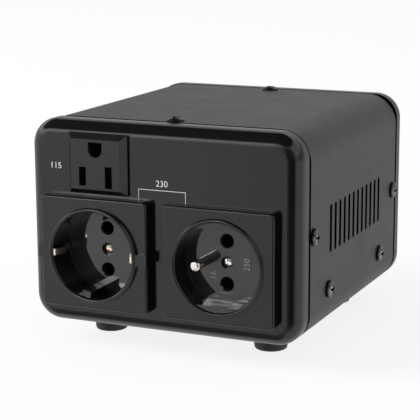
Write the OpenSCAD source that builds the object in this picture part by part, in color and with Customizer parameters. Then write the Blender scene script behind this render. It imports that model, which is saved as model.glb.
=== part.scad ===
// Bench-top voltage converter: a boxed transformer with one flat-blade outlet and two round sockets on
// its front. The parts are drawn in the case's own frame (front face at y = 0, bezel bottom at z = 0,
// middle at x = 0) and then moved, so that the origin lies under the middle of the whole box, on the
// surface that the feet stand on.

/* [Case] */
// Width over the bezels and over the sides of the cover
case_w = 128.6; // [126:0.2:150]
// Height of the bezels
case_h = 92; // [91:0.5:110]
// Depth from the front bezel's face to the rear bezel's face
case_d = 142.6; // [138:0.2:180]
// Corner radius of the bezel outline and of the cover's lower corners
bezel_r = 12; // [9:0.5:14]
// Depth of a bezel from its face to its back edge
bezel_d = 11; // [9:0.5:14]
// Quarter round along the edge of a bezel's face
bezel_fillet = 6; // [3:0.5:7]
// Wall of the bezel mouldings
bezel_wall = 3; // [2:0.25:3.5]
// Reach of a bezel's inner lip under the cover
lip_reach = 10; // [8:0.5:12]
// Wall of the inner lip
lip_wall = 2; // [1.5:0.25:3]
// Thickness of the cover and base sheet
sheet = 1.2; // [0.8:0.1:1.6]
// Gap between a bezel and the edge of the cover
cover_gap = 1.2; // [0.6:0.1:2]
// Outside radius of the cover's folded top corners
cover_r = 14; // [10:0.5:18]
// Height of the base plate's side flanges
flange_h = 25; // [24:0.5:40]

/* [Vents] */
// Number of slots in each side of the cover
vent_count = 12; // [6:1:13]
// Distance from slot to slot
vent_pitch = 6.1; // [4:0.1:6.5]
// Width of a slot
vent_w = 2.2; // [1.6:0.1:3]
// Length of a slot from end to end
vent_l = 21; // [12:0.5:30]
// Height of the middle of the slots over the bezel bottom
vent_z = 45.3; // [42:0.5:55]

/* [Screws and feet] */
// Diameter of the case screws
screw_d = 3; // [2.5:0.1:3.5]
// Head diameter of the side screws
side_head_d = 7.8; // [6:0.1:8]
// Head height of the side screws
side_head_h = 2.3; // [1.4:0.1:2.8]
// Head diameter of the top screws
top_head_d = 7.8; // [6:0.1:9]
// Head height of the top screws
top_head_h = 1.9; // [1.2:0.1:2.6]
// Distance of a bezel screw from the edge of the cover
screw_edge = 4; // [3.6:0.1:5]
// Height of the side bezel screws over the bezel bottom
side_screw_z = 45.9; // [30:0.1:60]
// Height of the side base screws over the bezel bottom
flange_screw_z = 18.5; // [15:0.1:20]
// Distance between the two base screws in a side
flange_screw_gap = 71.3; // [60:0.1:80]
// Distance of the bottom bezel screws from the middle at the standard width
bottom_screw_x = 22; // [14:0.5:26]
// Width of a screw boss in the bezels
boss_w = 8; // [6:0.5:10]
// Depth of a screw boss under the lip
boss_h = 7; // [5:0.5:9]
// Largest diameter of a foot
foot_d = 16.4; // [14:0.2:20]
// Diameter of a foot where it stands
foot_tip_d = 14.8; // [12:0.2:18]
// Height of the bezel bottom over the surface that the feet stand on
foot_drop = 9.5; // [7:0.5:14]
// Distance of a foot from the middle of the case at the standard width
foot_x = 39.9; // [34:0.1:44]
// Distance of a foot from the nearer bezel face
foot_y = 28.8; // [24:0.1:36]

/* [Round sockets] */
// Width of a socket's plate
plate_w = 52; // [48:0.5:56]
// Height of a socket's plate
plate_h = 50; // [46:0.5:50]
// Height of a plate over the bezel face
plate_proud = 5; // [3:0.5:7]
// Corner radius of a plate
plate_r = 2; // [1:0.5:4]
// Outside radius of the raised ring
ring_r = 21.5; // [21:0.1:22.5]
// Radius of the well
well_r = 19.5; // [18.8:0.1:19.8]
// Thickness of the well's floor
floor_t = 3.5; // [3:0.5:5]
// Distance between the two pin holes
pin_gap = 19; // [18.8:0.1:19.2]
// Diameter of a pin hole
pin_hole_d = 5.6; // [5.2:0.1:6]
// Height of the wells' centres over the bezel bottom
socket_z = 33.6; // [33:0.1:38]
// Place of the left socket across the face at the standard width
left_x = -30.5; // [-31:0.1:-29]
// Height of the left socket's ring over its plate
left_rise = 2; // [1:0.25:3]
// Depth of the left socket's well
left_depth = 15.5; // [14:0.5:18]
// Width of a guide rib in the left well
guide_w = 4; // [3:0.2:6]
// Height of a guide rib in the left well
guide_h = 2.8; // [2:0.2:4]
// Turn of the two guide ribs about the well's axis
guide_turn = 11; // [0:1:15]
// Width of the bars that join the left ring to the edges of its plate
bar_w = 5.2; // [4:0.2:7]
// Place of the right socket across the face at the standard width
right_x = 28.6; // [27:0.1:30]
// Height of the right socket's ring over its plate
right_rise = 1; // [0.75:0.25:3]
// Depth of the right socket's well
right_depth = 12; // [11:0.5:16]
// Distance of the flats in the right well from its centre
flat_off = 16.8; // [16:0.1:18]
// Diameter of the right socket's earth pin
earth_pin_d = 4.8; // [4.6:0.1:5]
// Distance of the earth pin from the well's centre
earth_pin_off = 10; // [9.5:0.1:10.5]
// Length of the sockets' back housings
back_l = 17; // [15:0.5:18]

/* [Flat-blade outlet] */
// Width of the outlet's face at the bezel
blade_face_w = 28.5; // [27:0.1:30]
// Height of the outlet's face at the bezel
blade_face_h = 26.7; // [25:0.1:27]
// Height of the outlet's face over the bezel face
blade_proud = 4; // [3:0.25:5]
// Width of the bevel round the face
blade_bevel = 2.3; // [1.5:0.1:3]
// Place of the outlet across the face at the standard width
blade_x = -29.2; // [-32:0.1:-24]
// Distance of the outlet's middle below the bezel top
blade_drop = 18.25; // [18:0.25:19]
// Distance between the two blade slots
blade_gap = 12.7; // [12.5:0.1:12.9]
// Distance of the blade slots below the middle of the face
blade_low = 5.35; // [5:0.05:5.6]
// Distance of the earth hole above the blade slots
blade_earth_up = 11.9; // [11.5:0.1:12]
// Width of a blade slot
blade_slot_w = 3.4; // [2.4:0.1:3.6]
// Length of the left blade slot
left_slot_l = 8.3; // [7:0.1:9]
// Length of the right blade slot
right_slot_l = 9.6; // [8:0.1:10]
// Width of the earth hole
blade_earth_w = 6.7; // [6:0.1:7]
// Depth of the outlet's body behind the bezel face
blade_body_d = 22; // [20:0.5:26]

/* [Transformer] */
// Width of a lamination
lam_w = 78; // [66:1:85]
// Room kept for the sockets behind the front face
front_room = 39; // [38:0.5:44]
// Room kept for the inlet, switch and fuse behind the rear face
rear_room = 32; // [31:0.5:36]
// Reach of the coil beyond each face of the stack
coil_reach = 13; // [11:0.5:16]
// Wall of the bobbin
bobbin_wall = 1.2; // [0.8:0.1:2]
// Thickness of the outer tape
tape_t = 0.6; // [0.3:0.1:1]
// Thickness of the clamping strap
strap_t = 1.5; // [1:0.1:2.5]
// Diameter of the core bolts and strap screws
bolt_d = 4; // [3:0.5:4.5]

/* [Mains inlet] */
// Place of the inlet across the rear face at the standard width
inlet_x = 27; // [24:0.5:30]
// Height of the inlet over the bezel bottom
inlet_z = 27; // [24:0.5:30]
// Width of the inlet's flange
inlet_flange_w = 50; // [48:0.5:52]
// Height of the inlet's flange
inlet_flange_h = 24; // [22:0.5:26]
// Thickness of the inlet's flange
inlet_flange_t = 3; // [2:0.25:4]
// Width of the inlet's recess
inlet_recess_w = 24.2; // [24:0.1:25]
// Height of the inlet's recess
inlet_recess_h = 16.4; // [16:0.1:17]
// Depth of the inlet's recess from its flange
inlet_depth = 16; // [14:0.5:17]
// Wall of the inlet's body round the recess
inlet_wall = 1.6; // [1.2:0.1:2]
// Distance between the inlet's screws
inlet_screw_gap = 40; // [38:0.5:42]

/* [Switch and selector] */
// Place of the power switch across the rear face at the standard width
switch_x = -31; // [-36:0.5:-28]
// Height of the power switch over the bezel bottom
switch_z = 65; // [60:0.5:66]
// Width of the switch's window
switch_window_w = 11; // [10:0.5:12]
// Height of the switch's window
switch_window_h = 17; // [16:0.5:18]
// Tilt of the rocker at rest
rocker_tilt = 10; // [6:1:12]
// Place of the voltage selector across the rear face at the standard width
selector_x = -31; // [-36:0.5:-28]
// Height of the voltage selector over the bezel bottom
selector_z = 27; // [24:0.5:32]
// Width of the selector's frame
selector_frame_w = 30; // [28:0.5:34]
// Height of the selector's frame
selector_frame_h = 15; // [14:0.5:18]
// Length of the selector's slider
slider_w = 11; // [9:0.5:12]
// Height of the selector's slider
slider_h = 8; // [6:0.5:9]
// Travel of the slider
slider_travel = 5; // [3:0.5:6]

/* [Fuse holder] */
// Place of the fuse holder across the rear face at the standard width
fuse_x = 33; // [28:0.5:40]
// Height of the fuse holder over the bezel bottom
fuse_z = 67; // [62:0.5:70]
// Outside diameter of the fuse holder's threaded body
fuse_body_d = 12.4; // [12:0.2:14]
// Diameter of the fuse holder's flange
fuse_flange_d = 18; // [17:0.5:20]
// Length of the fuse
fuse_l = 20; // [19:0.5:22]
// Diameter of the fuse's end caps
fuse_d = 5.2; // [5:0.1:5.4]
// Diameter of the fuse holder's cap
cap_d = 15; // [14:0.5:16]
// Height of the cap over the flange
cap_h = 9; // [7:0.5:11]
// Number of grip ribs round the cap
cap_ribs = 18; // [12:1:24]

/* [Clearances] */
// Slip between the cover and what it slides over
slip = 0.3; // [0.2:0.05:0.5]
// Clearance round a screw in its hole
screw_slip = 0.1; // [0.05:0.05:0.3]
// Clearance of a moulding in its cut-out
cut_slip = 0.3; // [0.2:0.05:0.5]
// Clearance of a moving piece in its guide
move_slip = 0.3; // [0.25:0.05:0.5]
// Radial clearance of the rocker's pivots
pivot_slip = 0.05; // [0.03:0.01:0.09]

/* [Hidden] */
$fn = 48;
// Overlap of shapes that are joined, and run of a cut past the face that it opens
eps = 0.01;
past = 1;

// Places across the faces are given for this width and spread with the case
standard_w = 128.6;
spread = case_w / standard_w;

// Case
half_w = case_w / 2;
lip_in = sheet + slip;
base_low = sheet + slip;
base_top = base_low + sheet;
lip_end = bezel_d + lip_reach;
cover_y = [bezel_d + cover_gap, case_d - bezel_d - cover_gap];
flange_y = [lip_end + bezel_wall, case_d - lip_end - bezel_wall];
tongue_x = half_w - bezel_r - lip_in;
bezel_screw_y = bezel_d + cover_gap + screw_edge;
hole_r = screw_d / 2 + screw_slip;
bottom_screw_off = spread * bottom_screw_x;
nut_grip = 3;
// Shares of a domed head: its upright rim, and the length, width and depth of its cross recess
head_rim = 0.35;
cross_share = [0.56, 0.15, 0.6];

// Feet
foot_h = foot_drop + base_low;
foot_tread = 1.2;
foot_recess = [7.4, 4.5];
foot_head = [6, 2];
foot_at = [for (y = [foot_y, case_d - foot_y], side = [-1, 1]) [side * spread * foot_x, y]];

// Connector tabs: width, thickness, room in their slots and reach behind a housing
tab_w = 6.3;
tab_t = 0.8;
tab_room = 0.3;
tab_reach = 9;

// Round sockets
plate_edge = 0.8;
plate_shift = 0.4;
left_mid = spread * left_x;
right_mid = spread * right_x;
left_floor = left_depth - left_rise - plate_proud;
right_floor = right_depth - right_rise - plate_proud;
left_back = left_floor + floor_t;
right_back = right_floor + floor_t;
pin_lead = 0.5;
centre_head = [4.8, 1.4];
centre_recess = [5.6, 1.8];
centre_grip = 9;
housing_wall = 1.8;
post_r = 4;
earth_tab_off = 13;
sleeve_l = 11;
sleeve_r = 3.4;
sleeve_bore_r = 2.55;
sleeve_floor = 1.2;
sleeve_split = [0.8, 8];
lug_rise = 1.6;
lug_l = 5;
socket_lug_w = 10;
clip_w = 2.8;
clip_t = 0.8;
clip_room = 0.2;
clip_gap = 0.25;
clip_out = well_r - clip_gap;
strap_eye_r = 3.6;
clip_bend = 2.4;
clip_apex = 4.6;
clip_leg = 4;
clip_tip = 0.8;
rib_set_back = 1.5;
bar_set_back = 0.4;
bar_lap = 1.2;
flat_set_back = 1;
earth_step = 0.6;
earth_neck_r = earth_pin_d / 2 - earth_step;
earth_collar = [1, 1.5];
earth_set_back = 0.3;

// Flat-blade outlet
blade_mid = spread * blade_x;
blade_z = case_h - blade_drop;
blade_rim = 1.2;
blade_face_t = 1;
blade_shoulder = 0.8;
blade_body = [blade_face_w, blade_face_h] - 2 * [blade_shoulder, blade_shoulder];
blade_slot_l = [left_slot_l, right_slot_l];
blade_at = [for (side = [-1, 1]) [blade_mid + side * blade_gap / 2, blade_z - blade_low]];
blade_earth_at = [blade_mid, blade_z - blade_low + blade_earth_up];
blade_chamber = [5.4, 11];
blade_lug_w = 8;
blade_back_t = 2;
blade_leaf = [0.6, 8];
blade_grip = 1.8;
blade_leaf_y = 6;
blade_earth_y = 8;
blade_earth_r = [3.2, 2.5];
blade_earth_chamber_r = 3.8;
blade_earth_flat = 0.1;
blade_tab_l = tab_reach + blade_back_t;

// Transformer: a lamination is six half limbs wide and five high
limb = lam_w / 6;
lam_h = 5 * limb;
window_h = lam_h - 2 * limb;
core_y = [front_room + coil_reach, case_d - rear_room - coil_reach];
core_mid_y = (core_y[0] + core_y[1]) / 2;
stack = core_y[1] - core_y[0];
core_z = base_top;
core_bolt_at = [for (x = [-1, 1], z = [limb / 2, lam_h - limb / 2]) [x * (lam_w - limb) / 2, core_z + z]];
bobbin_slip = 0.2;
coil_z = [core_z + limb + bobbin_slip, core_z + lam_h - limb - bobbin_slip];
wound_z = [coil_z[0] + bobbin_wall, coil_z[1] - bobbin_wall];
tube_out = bobbin_slip + bobbin_wall;
coil_room = 1.2;
wound_out = limb - coil_room;
primary_out = (tube_out + wound_out - tape_t) / 2;
strap_room = 0.5;
strap_foot = half_w - bezel_r - strap_room - lam_w / 2 - strap_t;
strap_at = [for (side = [-1, 1], end = [-1, 1])
  [side * (lam_w / 2 + strap_t + strap_foot / 2), core_mid_y + end * stack / 3]];
bolt_head = [1.75 * bolt_d, 0.6 * bolt_d];
bolt_nut = [1.75 * bolt_d, 0.8 * bolt_d];
bolt_hole_r = bolt_d / 2 + screw_slip;
strap_screw_end = 0.9 * bolt_d;

// Mains inlet
inlet_at = [spread * inlet_x, inlet_z];
inlet_flange = [inlet_flange_w, inlet_flange_h];
inlet_recess = [inlet_recess_w, inlet_recess_h];
inlet_body_size = inlet_recess + 2 * [inlet_wall, inlet_wall];
inlet_flange_r = 6;
inlet_corner = 5;
inlet_back = 3;
inlet_floor_y = inlet_flange_t - inlet_depth;
inlet_back_y = inlet_floor_y - inlet_back;
inlet_pin = [2, 4];
inlet_line_at = [7, -2];
inlet_earth_at = [0, 2];
inlet_line_short = 3.5;
inlet_earth_short = 2.5;
inlet_head = [5.6, 1.8];
inlet_nut = [5.5, 2.4];
inlet_screw_end = 3.5;

// Power switch
switch_at = [spread * switch_x, switch_z];
switch_window = [switch_window_w, switch_window_h];
switch_wall = 1;
switch_lip = 1;
switch_body_size = switch_window + 2 * [switch_wall, switch_wall];
switch_frame_size = switch_body_size + 2 * [switch_lip, switch_lip];
switch_body_d = 17;
rear_flange_t = 2;
rear_corner = 1.5;
rear_edge = 0.7;
rocker_y = 0.4;
rocker_r = switch_window_h / 2 - move_slip;
rocker_w = switch_window_w - 2 * move_slip;
rocker_rise = 3.6;
rocker_keel = [2.5, 5.5];
rocker_dish_r = 28;
rocker_dish_y = 1.6;
rocker_pin_r = 1;
rocker_pin_l = 0.6;
rocker_pin_room = 0.1;
switch_tab = [4.8, 0.8, 8];
switch_tab_z = [-5, 1];

// Voltage selector
selector_at = [spread * selector_x, selector_z];
slider_size = [slider_w, slider_h];
selector_window = slider_size + [slider_travel + 2 * move_slip, 2 * move_slip];
selector_wall = [2, 1.5];
selector_body_size = selector_window + 2 * selector_wall;
selector_body_d = 11;
selector_floor_y = -3.4;
slider_sunk = 0.6;
slider_slot = [1.2, 5.4];
slider_slot_d = 1.4;
selector_pin = [2, 0.6, 5];
selector_pin_gap = [5, 5];

// Fuse holder
fuse_at = [spread * fuse_x, fuse_z];
fuse_wall = 1.2;
fuse_bore_r = fuse_body_d / 2 - fuse_wall;
fuse_stand = 2;
fuse_back_y = rear_flange_t + fuse_stand - fuse_l;
fuse_end_t = 3;
cap_skirt = 9;
skirt_room = 0.6;
cap_wall = 0.5;
cap_round = 1;
rib_r = 0.7;
rib_lift = 0.5;
cap_slot = [10, 1.4, 1.2];
cap_grip_slip = 0.1;
fuse_nut_t = 3.5;
fuse_nut_in = 0.5;
fuse_nut_w = fuse_flange_d - 2 * fuse_nut_in;
fuse_end_tab_l = 8;
fuse_side_tab_y = [-17, -8];
glass_in = 0.3;
glass_wall = 0.6;
glass_short = 0.4;
fuse_cup_l = 5;
fuse_cup_wall = 0.28;

// Reach of the sockets before the front face and of the fuse cap behind the rear face
front_reach = plate_proud + max(left_rise, right_rise);
rear_reach = rear_flange_t + cap_h;

// Tones
case_tone = "#414246";
sheet_tone = "#55565a";
black_tone = "#17171a";
housing_tone = "#2b2b2e";
outlet_tone = "#2a2a2d";
rocker_tone = "#1d1d20";
slider_tone = "#a8352c";
screw_tone = "#231f2a";
steel_tone = "#b9bbbd";
brass_tone = "#c9a84e";
copper_tone = "#b4683a";
core_tone = "#6d6a66";
nylon_tone = "#d9d4c4";
tape_tone = "#d8c23a";
glass_tone = [0.85, 0.9, 0.92, 0.5];

// Moves the case's frame to the part's frame
module in_place() {
  translate([0, -(case_d + rear_reach - front_reach) / 2, foot_drop]) children();
}

// Box between two corners
module block(low, high) {
  translate(low) cube(high - low);
}

// Flat box between two corners
module span(low, high) {
  translate(low) square(high - low);
}

// Flat box with rounded lower corners and rounded upper corners; a radius of 0 leaves that pair sharp
module soft_span(low, high, r_low, r_top) {
  mid = (low[1] + high[1]) / 2;
  span([low[0], low[1] + r_low], [high[0], high[1] - r_top]);
  if (r_low > 0) {
    span([low[0] + r_low, low[1]], [high[0] - r_low, mid]);
    for (x = [low[0] + r_low, high[0] - r_low]) translate([x, low[1] + r_low]) circle(r_low);
  }
  if (r_top > 0) {
    span([low[0] + r_top, mid], [high[0] - r_top, high[1]]);
    for (x = [low[0] + r_top, high[0] - r_top]) translate([x, high[1] - r_top]) circle(r_top);
  }
}

// Runs a front-view outline along y
module run_y(y0, y1) {
  translate([0, y1, 0]) rotate([90, 0, 0]) linear_extrude(y1 - y0) children();
}

// Runs a plan-view outline up from z0 to z1
module run_z(z0, z1) {
  translate([0, 0, z0]) linear_extrude(z1 - z0) children();
}

// Turns a profile of radius and distance to the rear about an axis along y
module spin_y(x, y, z) {
  translate([x, y, z]) rotate([-90, 0, 0]) rotate_extrude() children();
}

// Round rod along y
module rod_y(at, r, y0, y1) {
  translate([at[0], y0, at[1]]) rotate([-90, 0, 0]) cylinder(r = r, h = y1 - y0);
}

// Upright hole through a sheet whose top lies at z = 0
module sheet_hole(r, t) {
  translate([0, 0, -t - past]) cylinder(r = r, h = t + 2 * past);
}

// Moves the origin to a place on the rear face, with y pointing out of it
module on_rear(at) {
  translate([at[0], case_d, at[1]]) children();
}

// Half profile of a slab's edge: run outwards, d deep, with a quarter round q at its face
module edge_profile(run, d, q) {
  difference() {
    square([run, d]);
    translate([run - q, 0]) difference() {
      square(q);
      translate([0, q]) circle(q);
    }
  }
}

// Slab with a rounded outline and a quarter round along its face, which looks to the front at y = 0
module faced_slab(w, h, r, d, q) {
  rotate([-90, 0, 0]) {
    for (x = [-1, 1], y = [-1, 1])
      translate([x * (w / 2 - r), y * (h / 2 - r), 0]) rotate_extrude() edge_profile(r, d, q);
    for (turn = [0, 180]) {
      rotate(turn) translate([w / 2 - r, h / 2 - r, 0]) rotate([90, 0, 0])
        linear_extrude(h - 2 * r) edge_profile(r, d, q);
      rotate(turn + 90) translate([h / 2 - r, w / 2 - r, 0]) rotate([90, 0, 0])
        linear_extrude(w - 2 * r) edge_profile(r, d, q);
    }
    block([r - w / 2, r - h / 2, 0], [w / 2 - r, h / 2 - r, d]);
  }
}

// The same slab on the rear face, looking to the rear
module rear_slab(size, t) {
  translate([0, t, 0]) mirror([0, 1, 0]) faced_slab(size[0], size[1], rear_corner, t, rear_edge);
}

// Half profile of a domed screw head that sits on y = 0
module head_profile(d, h) {
  rim = h * head_rim;
  dome = (d * d / 4 + (h - rim) * (h - rim)) / (2 * (h - rim));
  intersection() {
    square([d / 2, h]);
    translate([0, h - dome]) circle(dome);
  }
}

// Screw along z with a cross recess: the head stands on z = 0 and the shank hangs below it
module dome_screw(head_d, head_h, shank_d, shank_l) {
  cross = [head_d * cross_share[0], head_d * cross_share[1], head_h * cross_share[2]];
  difference() {
    rotate_extrude() {
      head_profile(head_d, head_h);
      span([0, -shank_l], [shank_d / 2, 0]);
    }
    for (turn = [0, 90]) rotate(turn)
      translate([-cross[0] / 2, -cross[1] / 2, head_h - cross[2]]) cube([cross[0], cross[1], head_h]);
  }
}

// Hexagon nut along z, standing on z = 0
module hex_nut(across, t, hole_d) {
  difference() {
    cylinder(d = across / cos(30), h = t, $fn = 6);
    translate([0, 0, -past]) cylinder(d = hole_d, h = t + 2 * past);
  }
}

// Flat connector tab along y, lying level
module tab(at, y0, y1) {
  block([at[0] - tab_w / 2, y0, at[1] - tab_t / 2], [at[0] + tab_w / 2, y1, at[1] + tab_t / 2]);
}

// Flat connector tab along y, standing upright
module upright_tab(at, y0, y1) {
  block([at[0] - tab_t / 2, y0, at[1] - tab_w / 2], [at[0] + tab_t / 2, y1, at[1] + tab_w / 2]);
}

// Slots that a level tab and an upright tab pass through
module tab_cut(at, y0, y1) {
  reach = [tab_w / 2 + tab_room, tab_t / 2 + tab_room];
  block([at[0] - reach[0], y0, at[1] - reach[1]], [at[0] + reach[0], y1, at[1] + reach[1]]);
}

module upright_tab_cut(at, y0, y1) {
  reach = [tab_t / 2 + tab_room, tab_w / 2 + tab_room];
  block([at[0] - reach[0], y0, at[1] - reach[1]], [at[0] + reach[0], y1, at[1] + reach[1]]);
}

// Wedge that snaps behind the bezel wall, pointing along x
module snap_lug(w) {
  translate([0, bezel_wall, -w / 2]) linear_extrude(w)
    polygon([[-past, 0], [lug_rise, 0], [0, lug_l], [-past, lug_l]]);
}

// Outline of a bezel, set in by inset
module bezel_outline(inset) {
  soft_span([inset - half_w, inset], [half_w - inset, case_h - inset], bezel_r - inset, bezel_r - inset);
}

// Outline of the lip that the cover slides over, set in by inset
module lip_outline(inset) {
  reach = half_w - lip_in - inset;
  soft_span([-reach, base_top + inset], [reach, case_h - lip_in - inset],
    bezel_r - lip_in - inset, cover_r - lip_in - inset);
}

// Places of the screws that go into a bezel: its top, its sides and its bottom
module at_bezel_top() {
  translate([0, bezel_screw_y, case_h]) children();
}

module at_bezel_sides() {
  for (side = [-1, 1])
    translate([side * half_w, bezel_screw_y, side_screw_z]) rotate([0, side * 90, 0]) children();
}

module at_bezel_bottom() {
  for (side = [-1, 1])
    translate([side * bottom_screw_off, bezel_screw_y, base_low]) rotate([180, 0, 0]) children();
}

// Places of the side screws that go into the base plate's flanges
module at_flanges() {
  for (side = [-1, 1], end = [-1, 1])
    translate([side * half_w, case_d / 2 + end * flange_screw_gap / 2, flange_screw_z])
      rotate([0, side * 90, 0]) children();
}

// Repeats what is drawn for the front bezel at the rear bezel
module both_ends() {
  children();
  translate([0, case_d, 0]) mirror([0, 1, 0]) children();
}

// Moulding of both bezels: a tray with a rounded edge, a lip for the cover, and bosses for the screws
module bezel_shell() {
  boss_y = [bezel_wall - eps, lip_end];
  boss_top = case_h - lip_in;
  lip_x = half_w - lip_in - lip_wall / 2;
  difference() {
    union() {
      difference() {
        translate([0, 0, case_h / 2]) faced_slab(case_w, case_h, bezel_r, bezel_d, bezel_fillet);
        run_y(bezel_wall, bezel_d + past) bezel_outline(bezel_wall);
      }
      run_y(bezel_wall - eps, lip_end) difference() {
        lip_outline(0);
        lip_outline(lip_wall);
      }
      run_y(boss_y[0], boss_y[1]) {
        span([-boss_w / 2, boss_top - boss_h], [boss_w / 2, boss_top - lip_wall / 2]);
        for (side = [-1, 1]) {
          translate([side * (lip_x - boss_h / 2), side_screw_z]) square([boss_h, boss_w], center = true);
          span([side * bottom_screw_off - boss_w / 2, base_top + lip_wall / 2],
            [side * bottom_screw_off + boss_w / 2, base_top + boss_h]);
        }
      }
    }
    at_bezel_top() sheet_hole(hole_r, boss_h + lip_in);
    at_bezel_sides() sheet_hole(hole_r, boss_h + lip_in + lip_wall / 2);
    at_bezel_bottom() sheet_hole(hole_r, boss_h + sheet);
  }
}

module front_bezel() {
  color(case_tone) in_place() difference() {
    bezel_shell();
    for (x = [left_mid, right_mid]) rod_y([x, socket_z], ring_r + cut_slip, -past, bezel_wall + past);
    run_y(-past, bezel_wall + past) translate([blade_mid, blade_z])
      square(blade_body + 2 * [cut_slip, cut_slip], center = true);
  }
}

module rear_bezel() {
  cut_y = [case_d - bezel_wall - past, case_d + past];
  color(case_tone) in_place() difference() {
    translate([0, case_d, 0]) mirror([0, 1, 0]) bezel_shell();
    run_y(cut_y[0], cut_y[1]) {
      translate(inlet_at) square(inlet_body_size + 2 * [cut_slip, cut_slip], center = true);
      translate(switch_at) square(switch_body_size + 2 * [cut_slip, cut_slip], center = true);
      translate(selector_at) square(selector_body_size + 2 * [cut_slip, cut_slip], center = true);
    }
    rod_y(fuse_at, fuse_body_d / 2 + screw_slip, cut_y[0], cut_y[1]);
    for (side = [-1, 1]) rod_y(inlet_at + [side * inlet_screw_gap / 2, 0], hole_r, cut_y[0], cut_y[1]);
  }
}

// One vent slot with round ends, cut through both sides
module vent_slot(y) {
  reach = half_w + past;
  straight = (vent_l - vent_w) / 2;
  block([-reach, y - vent_w / 2, vent_z - straight], [reach, y + vent_w / 2, vent_z + straight]);
  for (end = [-1, 1])
    translate([-reach, y, vent_z + end * straight]) rotate([0, 90, 0]) cylinder(d = vent_w, h = 2 * reach);
}

// Folded sheet that follows the bezels round all four corners and is open below
module top_cover() {
  color(sheet_tone) in_place() difference() {
    run_y(cover_y[0], cover_y[1]) difference() {
      soft_span([-half_w, 0], [half_w, case_h], bezel_r, cover_r);
      soft_span([sheet - half_w, sheet], [half_w - sheet, case_h - sheet], bezel_r - sheet, cover_r - sheet);
      span([bezel_r - half_w, -past], [half_w - bezel_r, sheet + past]);
    }
    for (i = [0:vent_count - 1]) vent_slot(case_d / 2 + (i - (vent_count - 1) / 2) * vent_pitch);
    both_ends() {
      at_bezel_top() sheet_hole(hole_r, sheet);
      at_bezel_sides() sheet_hole(hole_r, sheet);
    }
    at_flanges() sheet_hole(hole_r, sheet);
  }
}

// Folded tray with a side flange bent up inside the cover along each edge, and a tongue under each bezel
module base_plate() {
  reach = half_w - sheet;
  bend = bezel_r - sheet;
  color(sheet_tone) in_place() difference() {
    union() {
      run_y(flange_y[0], flange_y[1]) difference() {
        soft_span([-reach, base_low], [reach, base_low + flange_h], bend, 0);
        soft_span([sheet - reach, base_top], [reach - sheet, base_low + flange_h + past], bend - sheet, 0);
      }
      block([-tongue_x, cover_y[0], base_low], [tongue_x, cover_y[1], base_top]);
    }
    both_ends() at_bezel_bottom() sheet_hole(hole_r, sheet);
    at_flanges() sheet_hole(hole_r, 2 * sheet);
    for (at = foot_at) translate([at[0], at[1], base_top]) sheet_hole(hole_r, sheet);
    for (at = strap_at) translate([at[0], at[1], base_top]) sheet_hole(bolt_hole_r, sheet);
  }
}

// Tapered rubber foot with a rounded tread and a sunk hole for its screw
module foot(i) {
  tip_r = foot_tip_d / 2;
  color(black_tone) in_place() translate([foot_at[i][0], foot_at[i][1], -foot_drop]) difference() {
    rotate_extrude() {
      polygon([[0, foot_tread], [tip_r, foot_tread], [foot_d / 2, foot_h - foot_tread],
        [foot_d / 2, foot_h], [0, foot_h]]);
      span([0, 0], [tip_r - foot_tread, foot_tread]);
      intersection() {
        translate([tip_r - foot_tread, foot_tread]) circle(foot_tread);
        square([tip_r, foot_tread]);
      }
    }
    translate([0, 0, -past]) cylinder(d = foot_recess[0], h = foot_recess[1] + past);
    translate([0, 0, -past]) cylinder(r = hole_r, h = foot_h + 2 * past);
  }
}

module foot_front_left() {
  foot(0);
}

module foot_front_right() {
  foot(1);
}

module foot_rear_left() {
  foot(2);
}

module foot_rear_right() {
  foot(3);
}

module foot_screws() {
  color(steel_tone) in_place() for (at = foot_at)
    translate([at[0], at[1], foot_recess[1] - foot_drop]) rotate([180, 0, 0])
      dome_screw(foot_head[0], foot_head[1], screw_d, foot_h - foot_recess[1] + sheet + nut_grip);
}

module top_cover_screws() {
  color(screw_tone) in_place() both_ends() at_bezel_top() dome_screw(top_head_d, top_head_h, screw_d, boss_h);
}

module side_end_screws() {
  color(screw_tone) in_place() both_ends() at_bezel_sides()
    dome_screw(side_head_d, side_head_h, screw_d, boss_h);
}

module side_base_screws() {
  color(screw_tone) in_place() at_flanges()
    dome_screw(side_head_d, side_head_h, screw_d, 2 * sheet + nut_grip);
}

module base_end_screws() {
  color(steel_tone) in_place() both_ends() at_bezel_bottom()
    dome_screw(side_head_d, side_head_h, screw_d, boss_h);
}

// Half profile of a round socket's ring, wall and floor, from the rim at y = 0 to the rear
module cup_profile(depth) {
  rim_r = (ring_r - well_r) / 2;
  span([well_r, rim_r], [ring_r, depth + floor_t]);
  translate([well_r + rim_r, rim_r]) circle(rim_r);
  span([0, depth], [ring_r, depth + floor_t]);
}

// Plate, ring and well of a round socket, with its pin holes and the hole of its centre screw
module socket_front(x, rise, depth) {
  rim_y = -plate_proud - rise;
  floor_y = rim_y + depth;
  back_y = floor_y + floor_t;
  bore_r = pin_hole_d / 2;
  difference() {
    union() {
      difference() {
        translate([x, -plate_proud, socket_z + plate_shift])
          faced_slab(plate_w, plate_h, plate_r, plate_proud, plate_edge);
        rod_y([x, socket_z], (ring_r + well_r) / 2, -plate_proud - past, past);
      }
      spin_y(x, rim_y, socket_z) cup_profile(depth);
      for (turn = [0, 180])
        translate([x, 0, socket_z]) rotate([0, turn, 0]) translate([ring_r, 0, 0]) snap_lug(socket_lug_w);
    }
    for (side = [-1, 1]) {
      rod_y([x, socket_z + side * pin_gap / 2], bore_r, floor_y - past, back_y + past);
      translate([x, floor_y - eps, socket_z + side * pin_gap / 2]) rotate([-90, 0, 0])
        cylinder(r1 = bore_r + pin_lead, r2 = bore_r, h = pin_lead);
    }
    rod_y([x, socket_z], centre_recess[0] / 2, floor_y - past, floor_y + centre_recess[1]);
    rod_y([x, socket_z], hole_r, floor_y, back_y + past);
  }
}

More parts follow.
